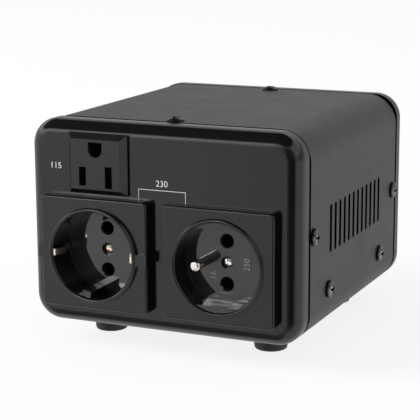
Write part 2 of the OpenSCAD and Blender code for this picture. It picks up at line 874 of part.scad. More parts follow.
// Housing behind a round socket, with a post for the centre screw and slots for the tabs
module socket_back(x, start, post_gap) {
  end = start + back_l;
  cut_y = [end - housing_wall - past, end + past];
  difference() {
    union() {
      spin_y(x, start, socket_z) {
        span([ring_r - housing_wall, 0], [ring_r, back_l]);
        span([0, back_l - housing_wall], [ring_r, back_l]);
      }
      rod_y([x, socket_z], post_r, start + post_gap, end - eps);
    }
    rod_y([x, socket_z], hole_r, start - past, end + past);
    for (side = [-1, 1]) tab_cut([x, socket_z + side * pin_gap / 2], cut_y[0], cut_y[1]);
    tab_cut([x - earth_tab_off, socket_z], cut_y[0], cut_y[1]);
  }
}

// Split sleeve that grips a round pin; it stands on the housing's rear wall, and its tab passes through
module sleeve_contact(at, start) {
  end = start + back_l - housing_wall;
  mouth = end - sleeve_l;
  reach = sleeve_r + past;
  difference() {
    rod_y(at, sleeve_r, mouth, end);
    rod_y(at, sleeve_bore_r, mouth - past, end - sleeve_floor);
    block([at[0] - reach, mouth - past, at[1] - sleeve_split[0] / 2],
      [at[0] + reach, mouth + sleeve_split[1], at[1] + sleeve_split[0] / 2]);
  }
  tab(at, end - eps, start + back_l + tab_reach);
}

// Pair of sleeve contacts behind the pin holes
module sleeve_pair(x, start) {
  for (side = [-1, 1]) sleeve_contact([x, socket_z + side * pin_gap / 2], start);
}

// Screw in the middle of a round socket's floor
module centre_screw(x, floor_y) {
  translate([x, floor_y + centre_recess[1], socket_z]) rotate([90, 0, 0])
    dome_screw(centre_head[0], centre_head[1], screw_d, floor_t + centre_grip);
}

// Left socket: two guide ribs in its well, two bars across its plate and two slots for the earth clips
module left_socket() {
  rim_y = left_floor - left_depth;
  slot = [clip_t + 2 * clip_room, clip_w + 2 * clip_room];
  color(black_tone) in_place() difference() {
    union() {
      socket_front(left_mid, left_rise, left_depth);
      intersection() {
        for (turn = [0, 180]) translate([left_mid, 0, socket_z]) rotate([0, guide_turn + turn, 0])
          translate([0, 0, -well_r]) run_y(rim_y + rib_set_back, left_floor + eps)
            square([guide_w, 2 * guide_h], center = true);
        rod_y([left_mid, socket_z], well_r + eps, rim_y, left_floor + past);
      }
      for (side = [-1, 1]) translate([left_mid + side * (ring_r + plate_w / 2) / 2, 0, socket_z])
        run_y(rim_y + bar_set_back, eps - plate_proud)
          square([plate_w / 2 - ring_r + bar_lap, bar_w], center = true);
    }
    for (side = [-1, 1]) translate([left_mid + side * (clip_out - clip_t / 2), 0, socket_z])
      run_y(left_floor - past, left_back + past) square(slot, center = true);
  }
}

// One earth clip: a strip along the well's wall with a bend towards the plug
module earth_clip(tip_y, root_y) {
  apex_y = tip_y + clip_apex;
  leg_y = apex_y + clip_leg;
  inner = clip_out - clip_t;
  translate([0, 0, -clip_w / 2]) linear_extrude(clip_w) polygon([
    [clip_out, root_y], [clip_out, leg_y], [clip_out - clip_bend, apex_y], [clip_out, tip_y],
    [inner, tip_y], [inner - clip_bend, apex_y], [inner, leg_y], [inner, root_y]
  ]);
}

// Earth strap: one strip behind the floor with a clip at each end and a tab
module left_earth_strap() {
  back_y = left_back + clip_t;
  color(steel_tone) in_place() translate([left_mid, 0, socket_z]) difference() {
    union() {
      block([-clip_out, left_back, -clip_w / 2], [clip_out, back_y, clip_w / 2]);
      rod_y([0, 0], strap_eye_r, left_back, back_y);
      for (turn = [0, 180]) rotate([0, turn, 0]) earth_clip(left_floor - left_depth + clip_tip, back_y);
      tab([-earth_tab_off, 0], back_y - eps, left_back + back_l + tab_reach);
    }
    rod_y([0, 0], hole_r, left_back - past, back_y + past);
  }
}

module left_socket_back() {
  color(housing_tone) in_place() socket_back(left_mid, left_back, clip_t);
}

module left_contacts() {
  color(brass_tone) in_place() sleeve_pair(left_mid, left_back);
}

module left_screw() {
  color(brass_tone) in_place() centre_screw(left_mid, left_floor);
}

// Right socket: a flat across the top and the bottom of its well, and a hole for the earth pin's neck
module right_socket() {
  rim_y = right_floor - right_depth;
  flat = [ring_r, past + right_floor, flat_off];
  color(black_tone) in_place() difference() {
    union() {
      socket_front(right_mid, right_rise, right_depth);
      difference() {
        rod_y([right_mid, socket_z], well_r + eps, rim_y + flat_set_back, right_floor + eps);
        translate([right_mid, 0, socket_z]) block([-flat[0], rim_y, -flat[2]], flat);
      }
    }
    rod_y([right_mid - earth_pin_off, socket_z], earth_neck_r, right_floor - past, right_back + past);
  }
}

module right_socket_back() {
  color(housing_tone) in_place() socket_back(right_mid, right_back, 0);
}

module right_contacts() {
  color(brass_tone) in_place() sleeve_pair(right_mid, right_back);
}

// Earth pin with a rounded tip, a neck through the floor, a collar behind it and a tab
module right_earth_pin() {
  r = earth_pin_d / 2;
  tip_y = right_floor - right_depth + earth_set_back;
  neck_end = right_back - tip_y;
  color(steel_tone) in_place() {
    spin_y(right_mid - earth_pin_off, tip_y, socket_z) {
      span([0, r / 2], [r, right_floor - tip_y]);
      span([0, r / 2], [earth_neck_r, neck_end + eps]);
      span([0, 0], [r / 2, r / 2]);
      intersection() {
        translate([r / 2, r / 2]) circle(r / 2);
        square([r, r / 2]);
      }
      span([0, neck_end], [r + earth_collar[0], neck_end + earth_collar[1]]);
    }
    tab([right_mid - earth_tab_off, socket_z], right_back + earth_collar[1] - eps,
      right_back + back_l + tab_reach);
  }
}

module right_screw() {
  color(steel_tone) in_place() centre_screw(right_mid, right_floor);
}

// Face of the outlet with its bevels: two trapezoids that cross
module bevelled_face() {
  w = blade_face_w / 2;
  h = blade_face_h / 2;
  intersection() {
    translate([0, 0, -h]) linear_extrude(blade_face_h) bevel_profile(w);
    rotate([0, -90, 0]) translate([0, 0, -w]) linear_extrude(blade_face_w) bevel_profile(h);
  }
}

// Section through the outlet's face: upright rim, bevel and flat front
module bevel_profile(half) {
  top = half - blade_bevel;
  polygon([[-half, 0], [half, 0], [half, -blade_rim], [top, -blade_proud], [-top, -blade_proud],
    [-half, -blade_rim]]);
}

// Outline of the earth hole: round below and flat above
module earth_outline() {
  r = blade_earth_w / 2;
  circle(r);
  span([-r, 0], [r, r - blade_earth_flat]);
}

// Outlet moulding: bevelled face, body with a chamber behind each opening, and two snap lugs
module blade_outlet() {
  slot_y = [-blade_proud - past, blade_face_t + past];
  chamber_y = [blade_face_t, blade_body_d + past];
  color(outlet_tone) in_place() difference() {
    translate([blade_mid, 0, blade_z]) {
      bevelled_face();
      run_y(-eps, blade_body_d) square(blade_body, center = true);
      for (turn = [0, 180]) rotate([0, turn, 0]) translate([blade_body[0] / 2, 0, 0]) snap_lug(blade_lug_w);
    }
    for (i = [0, 1]) translate([blade_at[i][0], 0, blade_at[i][1]]) {
      run_y(slot_y[0], slot_y[1]) square([blade_slot_w, blade_slot_l[i]], center = true);
      run_y(chamber_y[0], chamber_y[1]) square(blade_chamber, center = true);
    }
    translate([blade_earth_at[0], 0, blade_earth_at[1]]) {
      run_y(slot_y[0], slot_y[1]) earth_outline();
      rod_y([0, 0], blade_earth_chamber_r, chamber_y[0], chamber_y[1]);
    }
  }
}

module blade_outlet_back() {
  end = blade_body_d + blade_back_t;
  color(housing_tone) in_place() difference() {
    translate([blade_mid, 0, blade_z]) run_y(blade_body_d, end) square(blade_body, center = true);
    for (at = blade_at) upright_tab_cut(at, blade_body_d - past, end + past);
    tab_cut(blade_earth_at, blade_body_d - past, end + past);
  }
}

// Two spring leaves that grip a blade, joined at the rear, with an upright tab
module blade_contact(at) {
  back_y = blade_body_d - tab_t;
  half_h = blade_leaf[1] / 2;
  outer = blade_grip / 2 + blade_leaf[0];
  translate([at[0], 0, at[1]]) {
    difference() {
      block([-outer, blade_leaf_y, -half_h], [outer, blade_body_d, half_h]);
      block([-blade_grip / 2, blade_leaf_y - past, -half_h - past], [blade_grip / 2, back_y, half_h + past]);
    }
    upright_tab([0, 0], blade_body_d - eps, blade_body_d + blade_tab_l);
  }
}

module blade_contacts() {
  color(brass_tone) in_place() for (at = blade_at) blade_contact(at);
}

// Round earth contact, closed at the rear, with a level tab
module blade_earth_contact() {
  color(brass_tone) in_place() {
    difference() {
      rod_y(blade_earth_at, blade_earth_r[0], blade_earth_y, blade_body_d);
      rod_y(blade_earth_at, blade_earth_r[1], blade_earth_y - past, blade_body_d - tab_t);
    }
    tab(blade_earth_at, blade_body_d - eps, blade_body_d + blade_tab_l);
  }
}

// Front view of the whole core, its windows open
module core_outline() {
  difference() {
    span([-lam_w / 2, core_z], [lam_w / 2, core_z + lam_h]);
    for (side = [-1, 1])
      translate([side * 1.5 * limb, core_z + lam_h / 2]) square([limb, window_h], center = true);
  }
}

// Holes for the core bolts
module core_bolt_holes() {
  for (at = core_bolt_at) rod_y(at, bolt_hole_r, core_y[0] - past, core_y[1] + past);
}

module core_e_stack() {
  color(core_tone) in_place() difference() {
    run_y(core_y[0], core_y[1]) difference() {
      core_outline();
      span([-lam_w, core_z + lam_h - limb], [lam_w, core_z + lam_h + past]);
    }
    core_bolt_holes();
  }
}

module core_i_stack() {
  color(core_tone) in_place() difference() {
    run_y(core_y[0], core_y[1]) span([-lam_w / 2, core_z + lam_h - limb], [lam_w / 2, core_z + lam_h]);
    core_bolt_holes();
  }
}

// Plan view of the middle limb, grown on all sides
module limb_outline(grow) {
  span([-limb - grow, core_y[0] - grow], [limb + grow, core_y[1] + grow]);
}

// Plan view of the coil's rounded outline at a distance from the middle limb
module coil_outline(grow) {
  soft_span([-limb - grow, core_y[0] - grow], [limb + grow, core_y[1] + grow], grow, grow);
}

// Rounded ring of the coil, between two distances from the middle limb
module coil_ring(inner, outer) {
  difference() {
    run_z(wound_z[0], wound_z[1]) coil_outline(outer);
    run_z(wound_z[0] - past, wound_z[1] + past) coil_outline(inner);
  }
}

// Bobbin: a square tube round the middle limb with a flange at each end
module bobbin() {
  flange_x = 2 * limb - bobbin_slip;
  color(nylon_tone) in_place() {
    run_z(coil_z[0], coil_z[1]) difference() {
      limb_outline(tube_out);
      limb_outline(bobbin_slip);
    }
    for (z = [coil_z[0], wound_z[1]]) run_z(z, z + bobbin_wall) difference() {
      span([-flange_x, core_y[0] - coil_reach], [flange_x, core_y[1] + coil_reach]);
      limb_outline(bobbin_slip);
    }
  }
}

module primary_winding() {
  color(copper_tone) in_place() difference() {
    run_z(wound_z[0], wound_z[1]) coil_outline(primary_out);
    run_z(wound_z[0] - past, wound_z[1] + past) limb_outline(tube_out);
  }
}

module secondary_winding() {
  color(copper_tone) in_place() coil_ring(primary_out, wound_out - tape_t);
}

module winding_tape() {
  color(tape_tone) in_place() coil_ring(wound_out - tape_t, wound_out);
}

// Strap over the core with a foot on each side
module transformer_strap() {
  inner = lam_w / 2;
  outer = inner + strap_t;
  top = core_z + lam_h;
  color(steel_tone) in_place() difference() {
    run_y(core_y[0], core_y[1]) {
      difference() {
        soft_span([-outer, core_z], [outer, top + strap_t], 0, strap_t);
        span([-inner, core_z - past], [inner, top]);
      }
      for (side = [-1, 1]) translate([side * (outer + strap_foot / 2), core_z + strap_t / 2])
        square([strap_foot + 2 * eps, strap_t], center = true);
    }
    for (at = strap_at) translate([at[0], at[1], core_z + strap_t]) sheet_hole(bolt_hole_r, strap_t);
  }
}

module strap_screws() {
  color(steel_tone) in_place() for (at = strap_at) translate([at[0], at[1], core_z + strap_t])
    dome_screw(bolt_head[0], bolt_head[1], bolt_d, strap_t + sheet + strap_screw_end);
}

module strap_nuts() {
  color(steel_tone) in_place() for (at = strap_at) translate([at[0], at[1], base_low - bolt_nut[1]])
    hex_nut(bolt_nut[0], bolt_nut[1], 2 * bolt_hole_r);
}

module core_bolts() {
  color(steel_tone) in_place() for (at = core_bolt_at) translate([at[0], core_y[0], at[1]]) rotate([90, 0, 0])
    dome_screw(bolt_head[0], bolt_head[1], bolt_d, stack + bolt_d);
}

module core_nuts() {
  color(steel_tone) in_place() for (at = core_bolt_at)
    translate([at[0], core_y[1], at[1]]) rotate([-90, 0, 0])
      hex_nut(bolt_nut[0], bolt_nut[1], 2 * bolt_hole_r);
}

// Outline of the inlet's recess: a box with its two upper corners cut off, grown on all sides
module inlet_outline(grow) {
  w = inlet_recess[0] / 2 + grow;
  h = inlet_recess[1] / 2 + grow;
  polygon([[-w, -h], [w, -h], [w, h - inlet_corner], [w - inlet_corner, h], [inlet_corner - w, h],
    [-w, h - inlet_corner]]);
}

// Flat pin of the inlet, upright
module inlet_pin_solid(at, y0, y1) {
  translate([at[0], 0, at[1]]) run_y(y0, y1) square(inlet_pin, center = true);
}

// Inlet moulding: a flange with two screw holes round a deep recess, and a slot for each pin
module inlet_body() {
  slot_y = [inlet_back_y - past, inlet_floor_y + past];
  color(black_tone) in_place() on_rear(inlet_at) difference() {
    union() {
      run_y(0, inlet_flange_t) soft_span(-inlet_flange / 2, inlet_flange / 2, inlet_flange_r, inlet_flange_r);
      run_y(inlet_back_y, eps) inlet_outline(inlet_wall);
    }
    run_y(inlet_floor_y, inlet_flange_t + past) inlet_outline(0);
    for (side = [-1, 1]) {
      rod_y([side * inlet_screw_gap / 2, 0], hole_r, -past, inlet_flange_t + past);
      inlet_pin_solid([side * inlet_line_at[0], inlet_line_at[1]], slot_y[0], slot_y[1]);
    }
    inlet_pin_solid(inlet_earth_at, slot_y[0], slot_y[1]);
  }
}

// One inlet pin with its tab behind the body; it ends a little inside the flange's face
module inlet_contact(at, short) {
  inlet_pin_solid(at, inlet_back_y - eps, inlet_flange_t - short);
  upright_tab(at, inlet_back_y - tab_reach, inlet_back_y);
}

module inlet_line_pins() {
  color(steel_tone) in_place() on_rear(inlet_at)
    for (side = [-1, 1]) inlet_contact([side * inlet_line_at[0], inlet_line_at[1]], inlet_line_short);
}

module inlet_earth_pin() {
  color(steel_tone) in_place() on_rear(inlet_at) inlet_contact(inlet_earth_at, inlet_earth_short);
}

module inlet_screws() {
  color(screw_tone) in_place() on_rear(inlet_at) for (side = [-1, 1])
    translate([side * inlet_screw_gap / 2, inlet_flange_t, 0]) rotate([-90, 0, 0])
      dome_screw(inlet_head[0], inlet_head[1], screw_d, inlet_flange_t + bezel_wall + inlet_screw_end);
}

module inlet_nuts() {
  color(steel_tone) in_place() on_rear(inlet_at) for (side = [-1, 1])
    translate([side * inlet_screw_gap / 2, -bezel_wall, 0]) rotate([90, 0, 0])
      hex_nut(inlet_nut[0], inlet_nut[1], 2 * hole_r);
}

// Switch frame: a flange and a body with a window, and a bearing for the rocker's pivots in each side
module switch_frame() {
  pivot_l = rocker_w + 2 * (rocker_pin_l + rocker_pin_room);
  color(black_tone) in_place() on_rear(switch_at) difference() {
    union() {
      rear_slab(switch_frame_size, rear_flange_t);
      run_y(-switch_body_d, eps) square(switch_body_size, center = true);
    }
    run_y(-rocker_r, rear_flange_t + past) square(switch_window, center = true);
    translate([-pivot_l / 2, rocker_y, 0]) rotate([0, 90, 0])
      cylinder(r = rocker_pin_r + pivot_slip, h = pivot_l);
  }
}

// Rocker: a shallow trough with round ends and a keel, tilted about its two pivots
module switch_rocker() {
  wide = rocker_r + past;
  pivot_l = rocker_w + 2 * rocker_pin_l;
  keel = rocker_keel;
  color(rocker_tone) in_place() on_rear(switch_at) translate([0, rocker_y, 0]) rotate([-rocker_tilt, 0, 0]) {
    rotate([0, -90, 0]) translate([0, 0, -rocker_w / 2]) linear_extrude(rocker_w) intersection() {
      circle(rocker_r);
      difference() {
        polygon([[-wide, -keel[0]], [-keel[0], -keel[1]], [keel[0], -keel[1]], [wide, -keel[0]],
          [wide, rocker_rise], [-wide, rocker_rise]]);
        translate([0, rocker_dish_y + rocker_dish_r]) circle(rocker_dish_r);
      }
    }
    translate([-pivot_l / 2, 0, 0]) rotate([0, 90, 0]) cylinder(r = rocker_pin_r, h = pivot_l);
  }
}

module switch_tabs() {
  color(steel_tone) in_place() on_rear(switch_at) for (z = switch_tab_z)
    translate([0, 0, z]) run_y(-switch_body_d - switch_tab[2], -switch_body_d)
      square([switch_tab[0], switch_tab[1]], center = true);
}

module selector_frame() {
  color(black_tone) in_place() on_rear(selector_at) difference() {
    union() {
      rear_slab([selector_frame_w, selector_frame_h], rear_flange_t);
      run_y(-selector_body_d, eps) square(selector_body_size, center = true);
    }
    run_y(selector_floor_y, rear_flange_t + past) square(selector_window, center = true);
  }
}

// Slider at the left end of its window, with a slot for a tool
module selector_slider() {
  face_y = rear_flange_t - slider_sunk;
  color(slider_tone) in_place() on_rear(selector_at) translate([-slider_travel / 2, 0, 0]) difference() {
    run_y(selector_floor_y, face_y) square(slider_size, center = true);
    run_y(face_y - slider_slot_d, face_y + past) square(slider_slot, center = true);
  }
}

module selector_pins() {
  color(steel_tone) in_place() on_rear(selector_at) for (x = [-1, 0, 1], z = [-0.5, 0.5])
    translate([x * selector_pin_gap[0], 0, z * selector_pin_gap[1]])
      run_y(-selector_body_d - selector_pin[2], -selector_body_d)
        square([selector_pin[0], selector_pin[1]], center = true);
}

// Fuse holder: a flange and a threaded body, bored for the cap's skirt and then for the fuse
module fuse_holder() {
  color(black_tone) in_place() on_rear(fuse_at) difference() {
    union() {
      rod_y([0, 0], fuse_flange_d / 2, 0, rear_flange_t);
      rod_y([0, 0], fuse_body_d / 2, fuse_back_y - fuse_end_t, rear_flange_t);
    }
    rod_y([0, 0], fuse_bore_r, rear_flange_t - cap_skirt - skirt_room, rear_flange_t + past);
    rod_y([0, 0], fuse_d / 2 + move_slip, fuse_back_y, rear_flange_t + past);
  }
}

module fuse_nut() {
  color(black_tone) in_place() on_rear(fuse_at) translate([0, -bezel_wall, 0]) rotate([90, 0, 0])
    hex_nut(fuse_nut_w, fuse_nut_t, fuse_body_d + 2 * screw_slip);
}

// End terminal and side terminal of the fuse holder
module fuse_terminals() {
  end_y = fuse_back_y - fuse_end_t;
  color(brass_tone) in_place() on_rear(fuse_at) {
    tab([0, 0], end_y - fuse_end_tab_l, end_y);
    tab([0, (fuse_body_d + tab_t) / 2], fuse_side_tab_y[0], fuse_side_tab_y[1]);
  }
}

// Cap with grip ribs, a slot for a coin, and a skirt that holds the end of the fuse
module fuse_cap() {
  top_y = rear_flange_t + cap_h;
  skirt_y = rear_flange_t - cap_skirt;
  rib_y = [rear_flange_t + rib_lift, top_y - cap_round - rib_lift];
  color(black_tone) in_place() on_rear(fuse_at) difference() {
    union() {
      translate([0, top_y, 0]) rotate([90, 0, 0]) rotate_extrude()
        edge_profile(cap_d / 2 - cap_wall, cap_h, cap_round);
      for (i = [0:cap_ribs - 1])
        rotate([0, i * 360 / cap_ribs, 0]) rod_y([cap_d / 2 - rib_r, 0], rib_r, rib_y[0], rib_y[1]);
      rod_y([0, 0], fuse_bore_r - move_slip, skirt_y, rear_flange_t + eps);
    }
    rod_y([0, 0], fuse_d / 2 + cap_grip_slip, skirt_y - past, fuse_back_y + fuse_l);
    run_y(top_y - cap_slot[2], top_y + past) square([cap_slot[0], cap_slot[1]], center = true);
  }
}

module fuse_glass() {
  outer = fuse_d / 2 - glass_in;
  color(glass_tone) in_place() on_rear(fuse_at) difference() {
    rod_y([0, 0], outer, fuse_back_y + glass_short, fuse_back_y + fuse_l - glass_short);
    rod_y([0, 0], outer - glass_wall, fuse_back_y, fuse_back_y + fuse_l);
  }
}

// Metal cups on both ends of the fuse
module fuse_end_caps() {
  half = fuse_l / 2;
  color(steel_tone) in_place() on_rear(fuse_at) for (flip = [0, 1])
    translate([0, fuse_back_y + half, 0]) mirror([0, flip, 0]) difference() {
      rod_y([0, 0], fuse_d / 2, half - fuse_cup_l, half);
      rod_y([0, 0], fuse_d / 2 - fuse_cup_wall, half - fuse_cup_l - past, half - glass_short);
    }
}

front_bezel();
rear_bezel();
top_cover();
base_plate();
foot_front_left();
foot_front_right();
foot_rear_left();
foot_rear_right();
foot_screws();
top_cover_screws();
side_end_screws();
side_base_screws();
base_end_screws();
left_socket();
left_socket_back();
left_contacts();
left_earth_strap();
left_screw();
right_socket();
right_socket_back();
right_contacts();
right_earth_pin();
right_screw();
blade_outlet();
blade_outlet_back();
blade_contacts();
blade_earth_contact();
core_e_stack();
core_i_stack();
bobbin();
primary_winding();
secondary_winding();
winding_tape();
transformer_strap();
strap_screws();
strap_nuts();
core_bolts();
core_nuts();
inlet_body();
inlet_line_pins();
inlet_earth_pin();
inlet_screws();
inlet_nuts();
switch_frame();
switch_rocker();
switch_tabs();
selector_frame();
selector_slider();
selector_pins();
fuse_holder();
fuse_nut();
fuse_terminals();
fuse_cap();
fuse_glass();
fuse_end_caps();
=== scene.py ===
# %% [markdown]
# A bench-top voltage converter, dressed for its portrait. The CAD model already has every piece at its
# real size, so this lesson leaves those pieces where they are. It sets up a camera, a studio and its
# light, gives each piece a finish built from procedural nodes, and models the small printed and moulded
# marks that CAD leaves out.

# %% Load the frame
import math

import bpy
from mathutils import Matrix, Vector


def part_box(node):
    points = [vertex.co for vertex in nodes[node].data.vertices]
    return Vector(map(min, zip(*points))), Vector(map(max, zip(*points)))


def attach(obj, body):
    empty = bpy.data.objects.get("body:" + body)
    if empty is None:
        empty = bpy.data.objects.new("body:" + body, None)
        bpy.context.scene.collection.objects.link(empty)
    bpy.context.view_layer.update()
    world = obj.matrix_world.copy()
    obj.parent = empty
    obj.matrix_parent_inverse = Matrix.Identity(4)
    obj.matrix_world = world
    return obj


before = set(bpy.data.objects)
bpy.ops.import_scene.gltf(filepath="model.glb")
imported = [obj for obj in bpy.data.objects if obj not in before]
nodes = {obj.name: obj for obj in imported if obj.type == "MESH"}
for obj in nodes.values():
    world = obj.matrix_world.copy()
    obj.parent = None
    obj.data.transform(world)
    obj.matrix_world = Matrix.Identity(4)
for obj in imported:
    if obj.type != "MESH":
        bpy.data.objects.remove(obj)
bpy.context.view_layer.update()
MM = 0.001

# %% [markdown]
# The camera stands to the right of the box and a little above it, as a product photographer would stand.
# A long lens keeps the box from looking stretched. Its place and turn are plain numbers, and the three
# turns are put together as one matrix, because the columns of that matrix are simply the camera's right,
# up and back.

# %% Camera
CAMERA_PLACE = Vector((277.0, -638.5, 200.2)) * MM
CAMERA_YAW = math.radians(24.165)
CAMERA_PITCH = math.radians(12.137)
CAMERA_ROLL = math.radians(-0.284)
SENSOR = 36.0
LENS = 128.27


def camera_turn(yaw, pitch, roll):
    """Columns right, up and back of a camera that looks along +Y when all three turns are zero."""
    ahead = Vector((-math.sin(yaw) * math.cos(pitch), math.cos(yaw) * math.cos(pitch), -math.sin(pitch)))
    right = Vector((math.cos(yaw), math.sin(yaw), 0.0))
    up = right.cross(ahead)
    rolled_right = right * math.cos(roll) + up * math.sin(roll)
    rolled_up = up * math.cos(roll) - right * math.sin(roll)
    return Matrix((rolled_right, rolled_up, -ahead)).transposed().to_4x4()


bpy.ops.object.camera_add()
camera = bpy.context.object
camera.name = "portrait_camera"
camera.matrix_world = Matrix.Translation(CAMERA_PLACE) @ camera_turn(CAMERA_YAW, CAMERA_PITCH, CAMERA_ROLL)
camera.data.sensor_width = SENSOR
camera.data.lens = LENS
bpy.context.scene.camera = camera
bpy.context.scene.view_settings.view_transform = "Standard"
print("camera at", [round(x, 3) for x in camera.location])

# %% [markdown]
# The room, the floor and every finish are node trees, so a few short helpers come first: one adds a node,
# one adds a piece of arithmetic, one measures how far a direction points along another, and one turns a
# range of values into a soft step from one level to another.

# %% Node helpers


def add_node(tree, kind, **settings):
    """A new node with some of its settings changed."""
    node = tree.nodes.new(kind)
    for name, value in settings.items():
        setattr(node, name, value)
    return node


def feed(tree, socket, value):
    """Links an output to a socket, or sets the socket to a plain value."""
    if isinstance(value, bpy.types.NodeSocket):
        tree.links.new(value, socket)
    else:
        socket.default_value = value


def arithmetic(tree, operation, first, second):
    """One step of arithmetic on outputs or plain numbers."""
    node = add_node(tree, "ShaderNodeMath", operation=operation)
    feed(tree, node.inputs[0], first)
    feed(tree, node.inputs[1], second)
    return node.outputs[0]


def along(tree, vector, way):
    """How far a vector points along a fixed way."""
    node = add_node(tree, "ShaderNodeVectorMath", operation="DOT_PRODUCT")
    feed(tree, node.inputs[0], vector)
    feed(tree, node.inputs[1], way)
    return node.outputs["Value"]


def soft_step(tree, value, start, end, low, high):
    """A smooth step from low to high while the value goes from start to end."""
    node = add_node(tree, "ShaderNodeMapRange", interpolation_type="SMOOTHSTEP")
    for name, number in (("From Min", start), ("From Max", end), ("To Min", low), ("To Max", high)):
        node.inputs[name].default_value = number
    feed(tree, node.inputs["Value"], value)
    return node.outputs["Result"]


def blend_shaders(tree, share, first, second):
    """Mixes two shaders by a share from 0 to 1."""
    node = add_node(tree, "ShaderNodeMixShader")
    feed(tree, node.inputs[0], share)
    feed(tree, node.inputs[1], first)
    feed(tree, node.inputs[2], second)
    return node.outputs[0]


print("node helpers ready")

# %% [markdown]
# Black plastic is mostly seen by what it mirrors, so the room matters more than the lamps. This room is a
# white tent, brightest in a band round its walls. Six patches of it are dimmed by black cloth: the
# ceiling, a soft part behind it, the upper right, the gap where the camera looks in, the rear wall and a
# part of the floor in front. The flat faces mirror the white floor of the tent. The rounded edges mirror
# the bright band as a thin line and then go dark, which draws the shape of the box. What the camera sees
# directly is plain white, and what lights matt surfaces is white and even.

# %% Room
MIRRORED_FLOOR = 1.08
BAND_LEVEL = 2.9
BAND_WAY = Vector((0.0, -0.28, 0.96))
BAND_EDGE = (0.16, 0.42)
ROOM_LIGHT = 0.6
BLACK_CLOTHS = {
    "ceiling": {"way": (-0.24, -0.26, 0.94), "edge": (0.58, 0.7), "share": 0.03},
    "rear_ceiling": {"way": (-0.4, 0.55, 0.73), "edge": (0.88, 0.985), "share": 0.38},
    "upper_right": {"way": (0.6, 0.0, 0.8), "edge": (0.35, 0.7), "share": 0.42},
    "camera_gap": {"way": (0.28, -0.96, 0.0), "edge": (0.7, 0.965), "share": 0.05},
    "rear_wall": {"way": (-0.29, 0.96, 0.0), "edge": (0.3, 0.95), "share": 0.46},
    "front_floor": {"way": (-0.33, -0.62, -0.71), "edge": (0.9, 0.97), "share": 0.25},
}


def build_room():
    """A world that looks different to the camera, to mirrors and to matt surfaces."""
    world = bpy.data.worlds.new("white_tent")
    world.use_nodes = True
    tree = world.node_tree
    tree.nodes.clear()
    way = add_node(tree, "ShaderNodeTexCoord").outputs["Generated"]
    mirrored = soft_step(tree, along(tree, way, BAND_WAY), *BAND_EDGE, MIRRORED_FLOOR, BAND_LEVEL)
    for cloth in BLACK_CLOTHS.values():
        dimmed = soft_step(tree, along(tree, way, cloth["way"]), *cloth["edge"], 1.0, cloth["share"])
        mirrored = arithmetic(tree, "MULTIPLY", mirrored, dimmed)
    levels = {"seen": 1.0, "mirrored": mirrored, "lighting": ROOM_LIGHT}
    lights = {}
    for name, level in levels.items():
        light = add_node(tree, "ShaderNodeBackground", name=name)
        light.inputs["Color"].default_value = (1, 1, 1, 1)
        feed(tree, light.inputs["Strength"], level)
        lights[name] = light.outputs[0]
    path = add_node(tree, "ShaderNodeLightPath").outputs
    shiny = arithmetic(tree, "MAXIMUM", path["Is Glossy Ray"], path["Is Transmission Ray"])
    around = blend_shaders(tree, shiny, lights["lighting"], lights["mirrored"])
    whole = blend_shaders(tree, path["Is Camera Ray"], around, lights["seen"])
    feed(tree, add_node(tree, "ShaderNodeOutputWorld").inputs["Surface"], whole)
    bpy.context.scene.world = world
    return world


print("room:", build_room().name)

# %% [markdown]
# The floor is a wide pale sheet under the feet. To the camera it glows white for the most part and still
# takes a share of the light, so the open floor is white and only the soft shadow of the box shows on it.
# Mirrors look past it to the tent's white floor, which is part of the room.

# %% Floor
FLOOR_SIZE = 8.0
FLOOR_TONE = (0.95, 0.95, 0.95, 1)
FLOOR_GLOW = 0.85


def build_floor():
    """A floor that glows for the camera, takes the shadow and is left out of mirrors."""
    bpy.ops.object.select_all(action="DESELECT")
    bpy.ops.mesh.primitive_plane_add(size=FLOOR_SIZE, location=(0, 0, 0))
    floor = bpy.context.object
    floor.name = "studio_floor"
    floor.visible_glossy = False
    finish = bpy.data.materials.new("pale_floor")
    finish.use_nodes = True
    tree = finish.node_tree
    tree.nodes.clear()
    matt = add_node(tree, "ShaderNodeBsdfDiffuse")
    matt.inputs["Color"].default_value = FLOOR_TONE
    glow = add_node(tree, "ShaderNodeEmission")
    path = add_node(tree, "ShaderNodeLightPath").outputs
    seen = arithmetic(tree, "MAXIMUM", path["Is Camera Ray"], path["Is Transmission Ray"])
    share = arithmetic(tree, "MULTIPLY", seen, FLOOR_GLOW)
    whole = blend_shaders(tree, share, matt.outputs[0], glow.outputs[0])
    feed(tree, add_node(tree, "ShaderNodeOutputMaterial").inputs["Surface"], whole)
    floor.data.materials.append(finish)
    return floor


print("floor:", build_floor().name)

# %% [markdown]
# Three soft boxes add a direction to the even light of the tent. The large one stands far to the left and
# a little in front, so the raised plates and the pins throw faint shadows to the right, and no mirror
# shows it. The other two stand in front, to the left of the camera and higher, for the sparkle deep in
# the round wells: a small box for the right well and the left screw, and a long, tilted strip for the
# left well, whose polished floor and wall mirror it on both sides of the lower guide rib. Light linking
# keeps them to the sockets and their metal, as black flags would in a studio.

# %% Lamps
LAMP_AIM = Vector((0.0, -0.04, 0.05))
LAMPS = {
    "key_box": {"place": (-2.4, -1.0, 1.6), "size": (1.4, 1.4), "power": 80.0, "mirrored": False},
    "front_box": {"place": (-0.575, -1.46, 0.62), "size": (0.19, 0.3), "power": 1.6, "mirrored": True},
    "strip_box": {"place": (-0.575, -1.46, 0.54), "size": (0.19, 0.85), "power": 4.4, "mirrored": True,
                  "roll": math.radians(-43.0)},
}
SPARKLING = {
    "front_box": ("left_screw", "right_socket", "right_earth_pin", "right_screw"),
    "strip_box": ("left_socket", "left_earth_strap"),
}


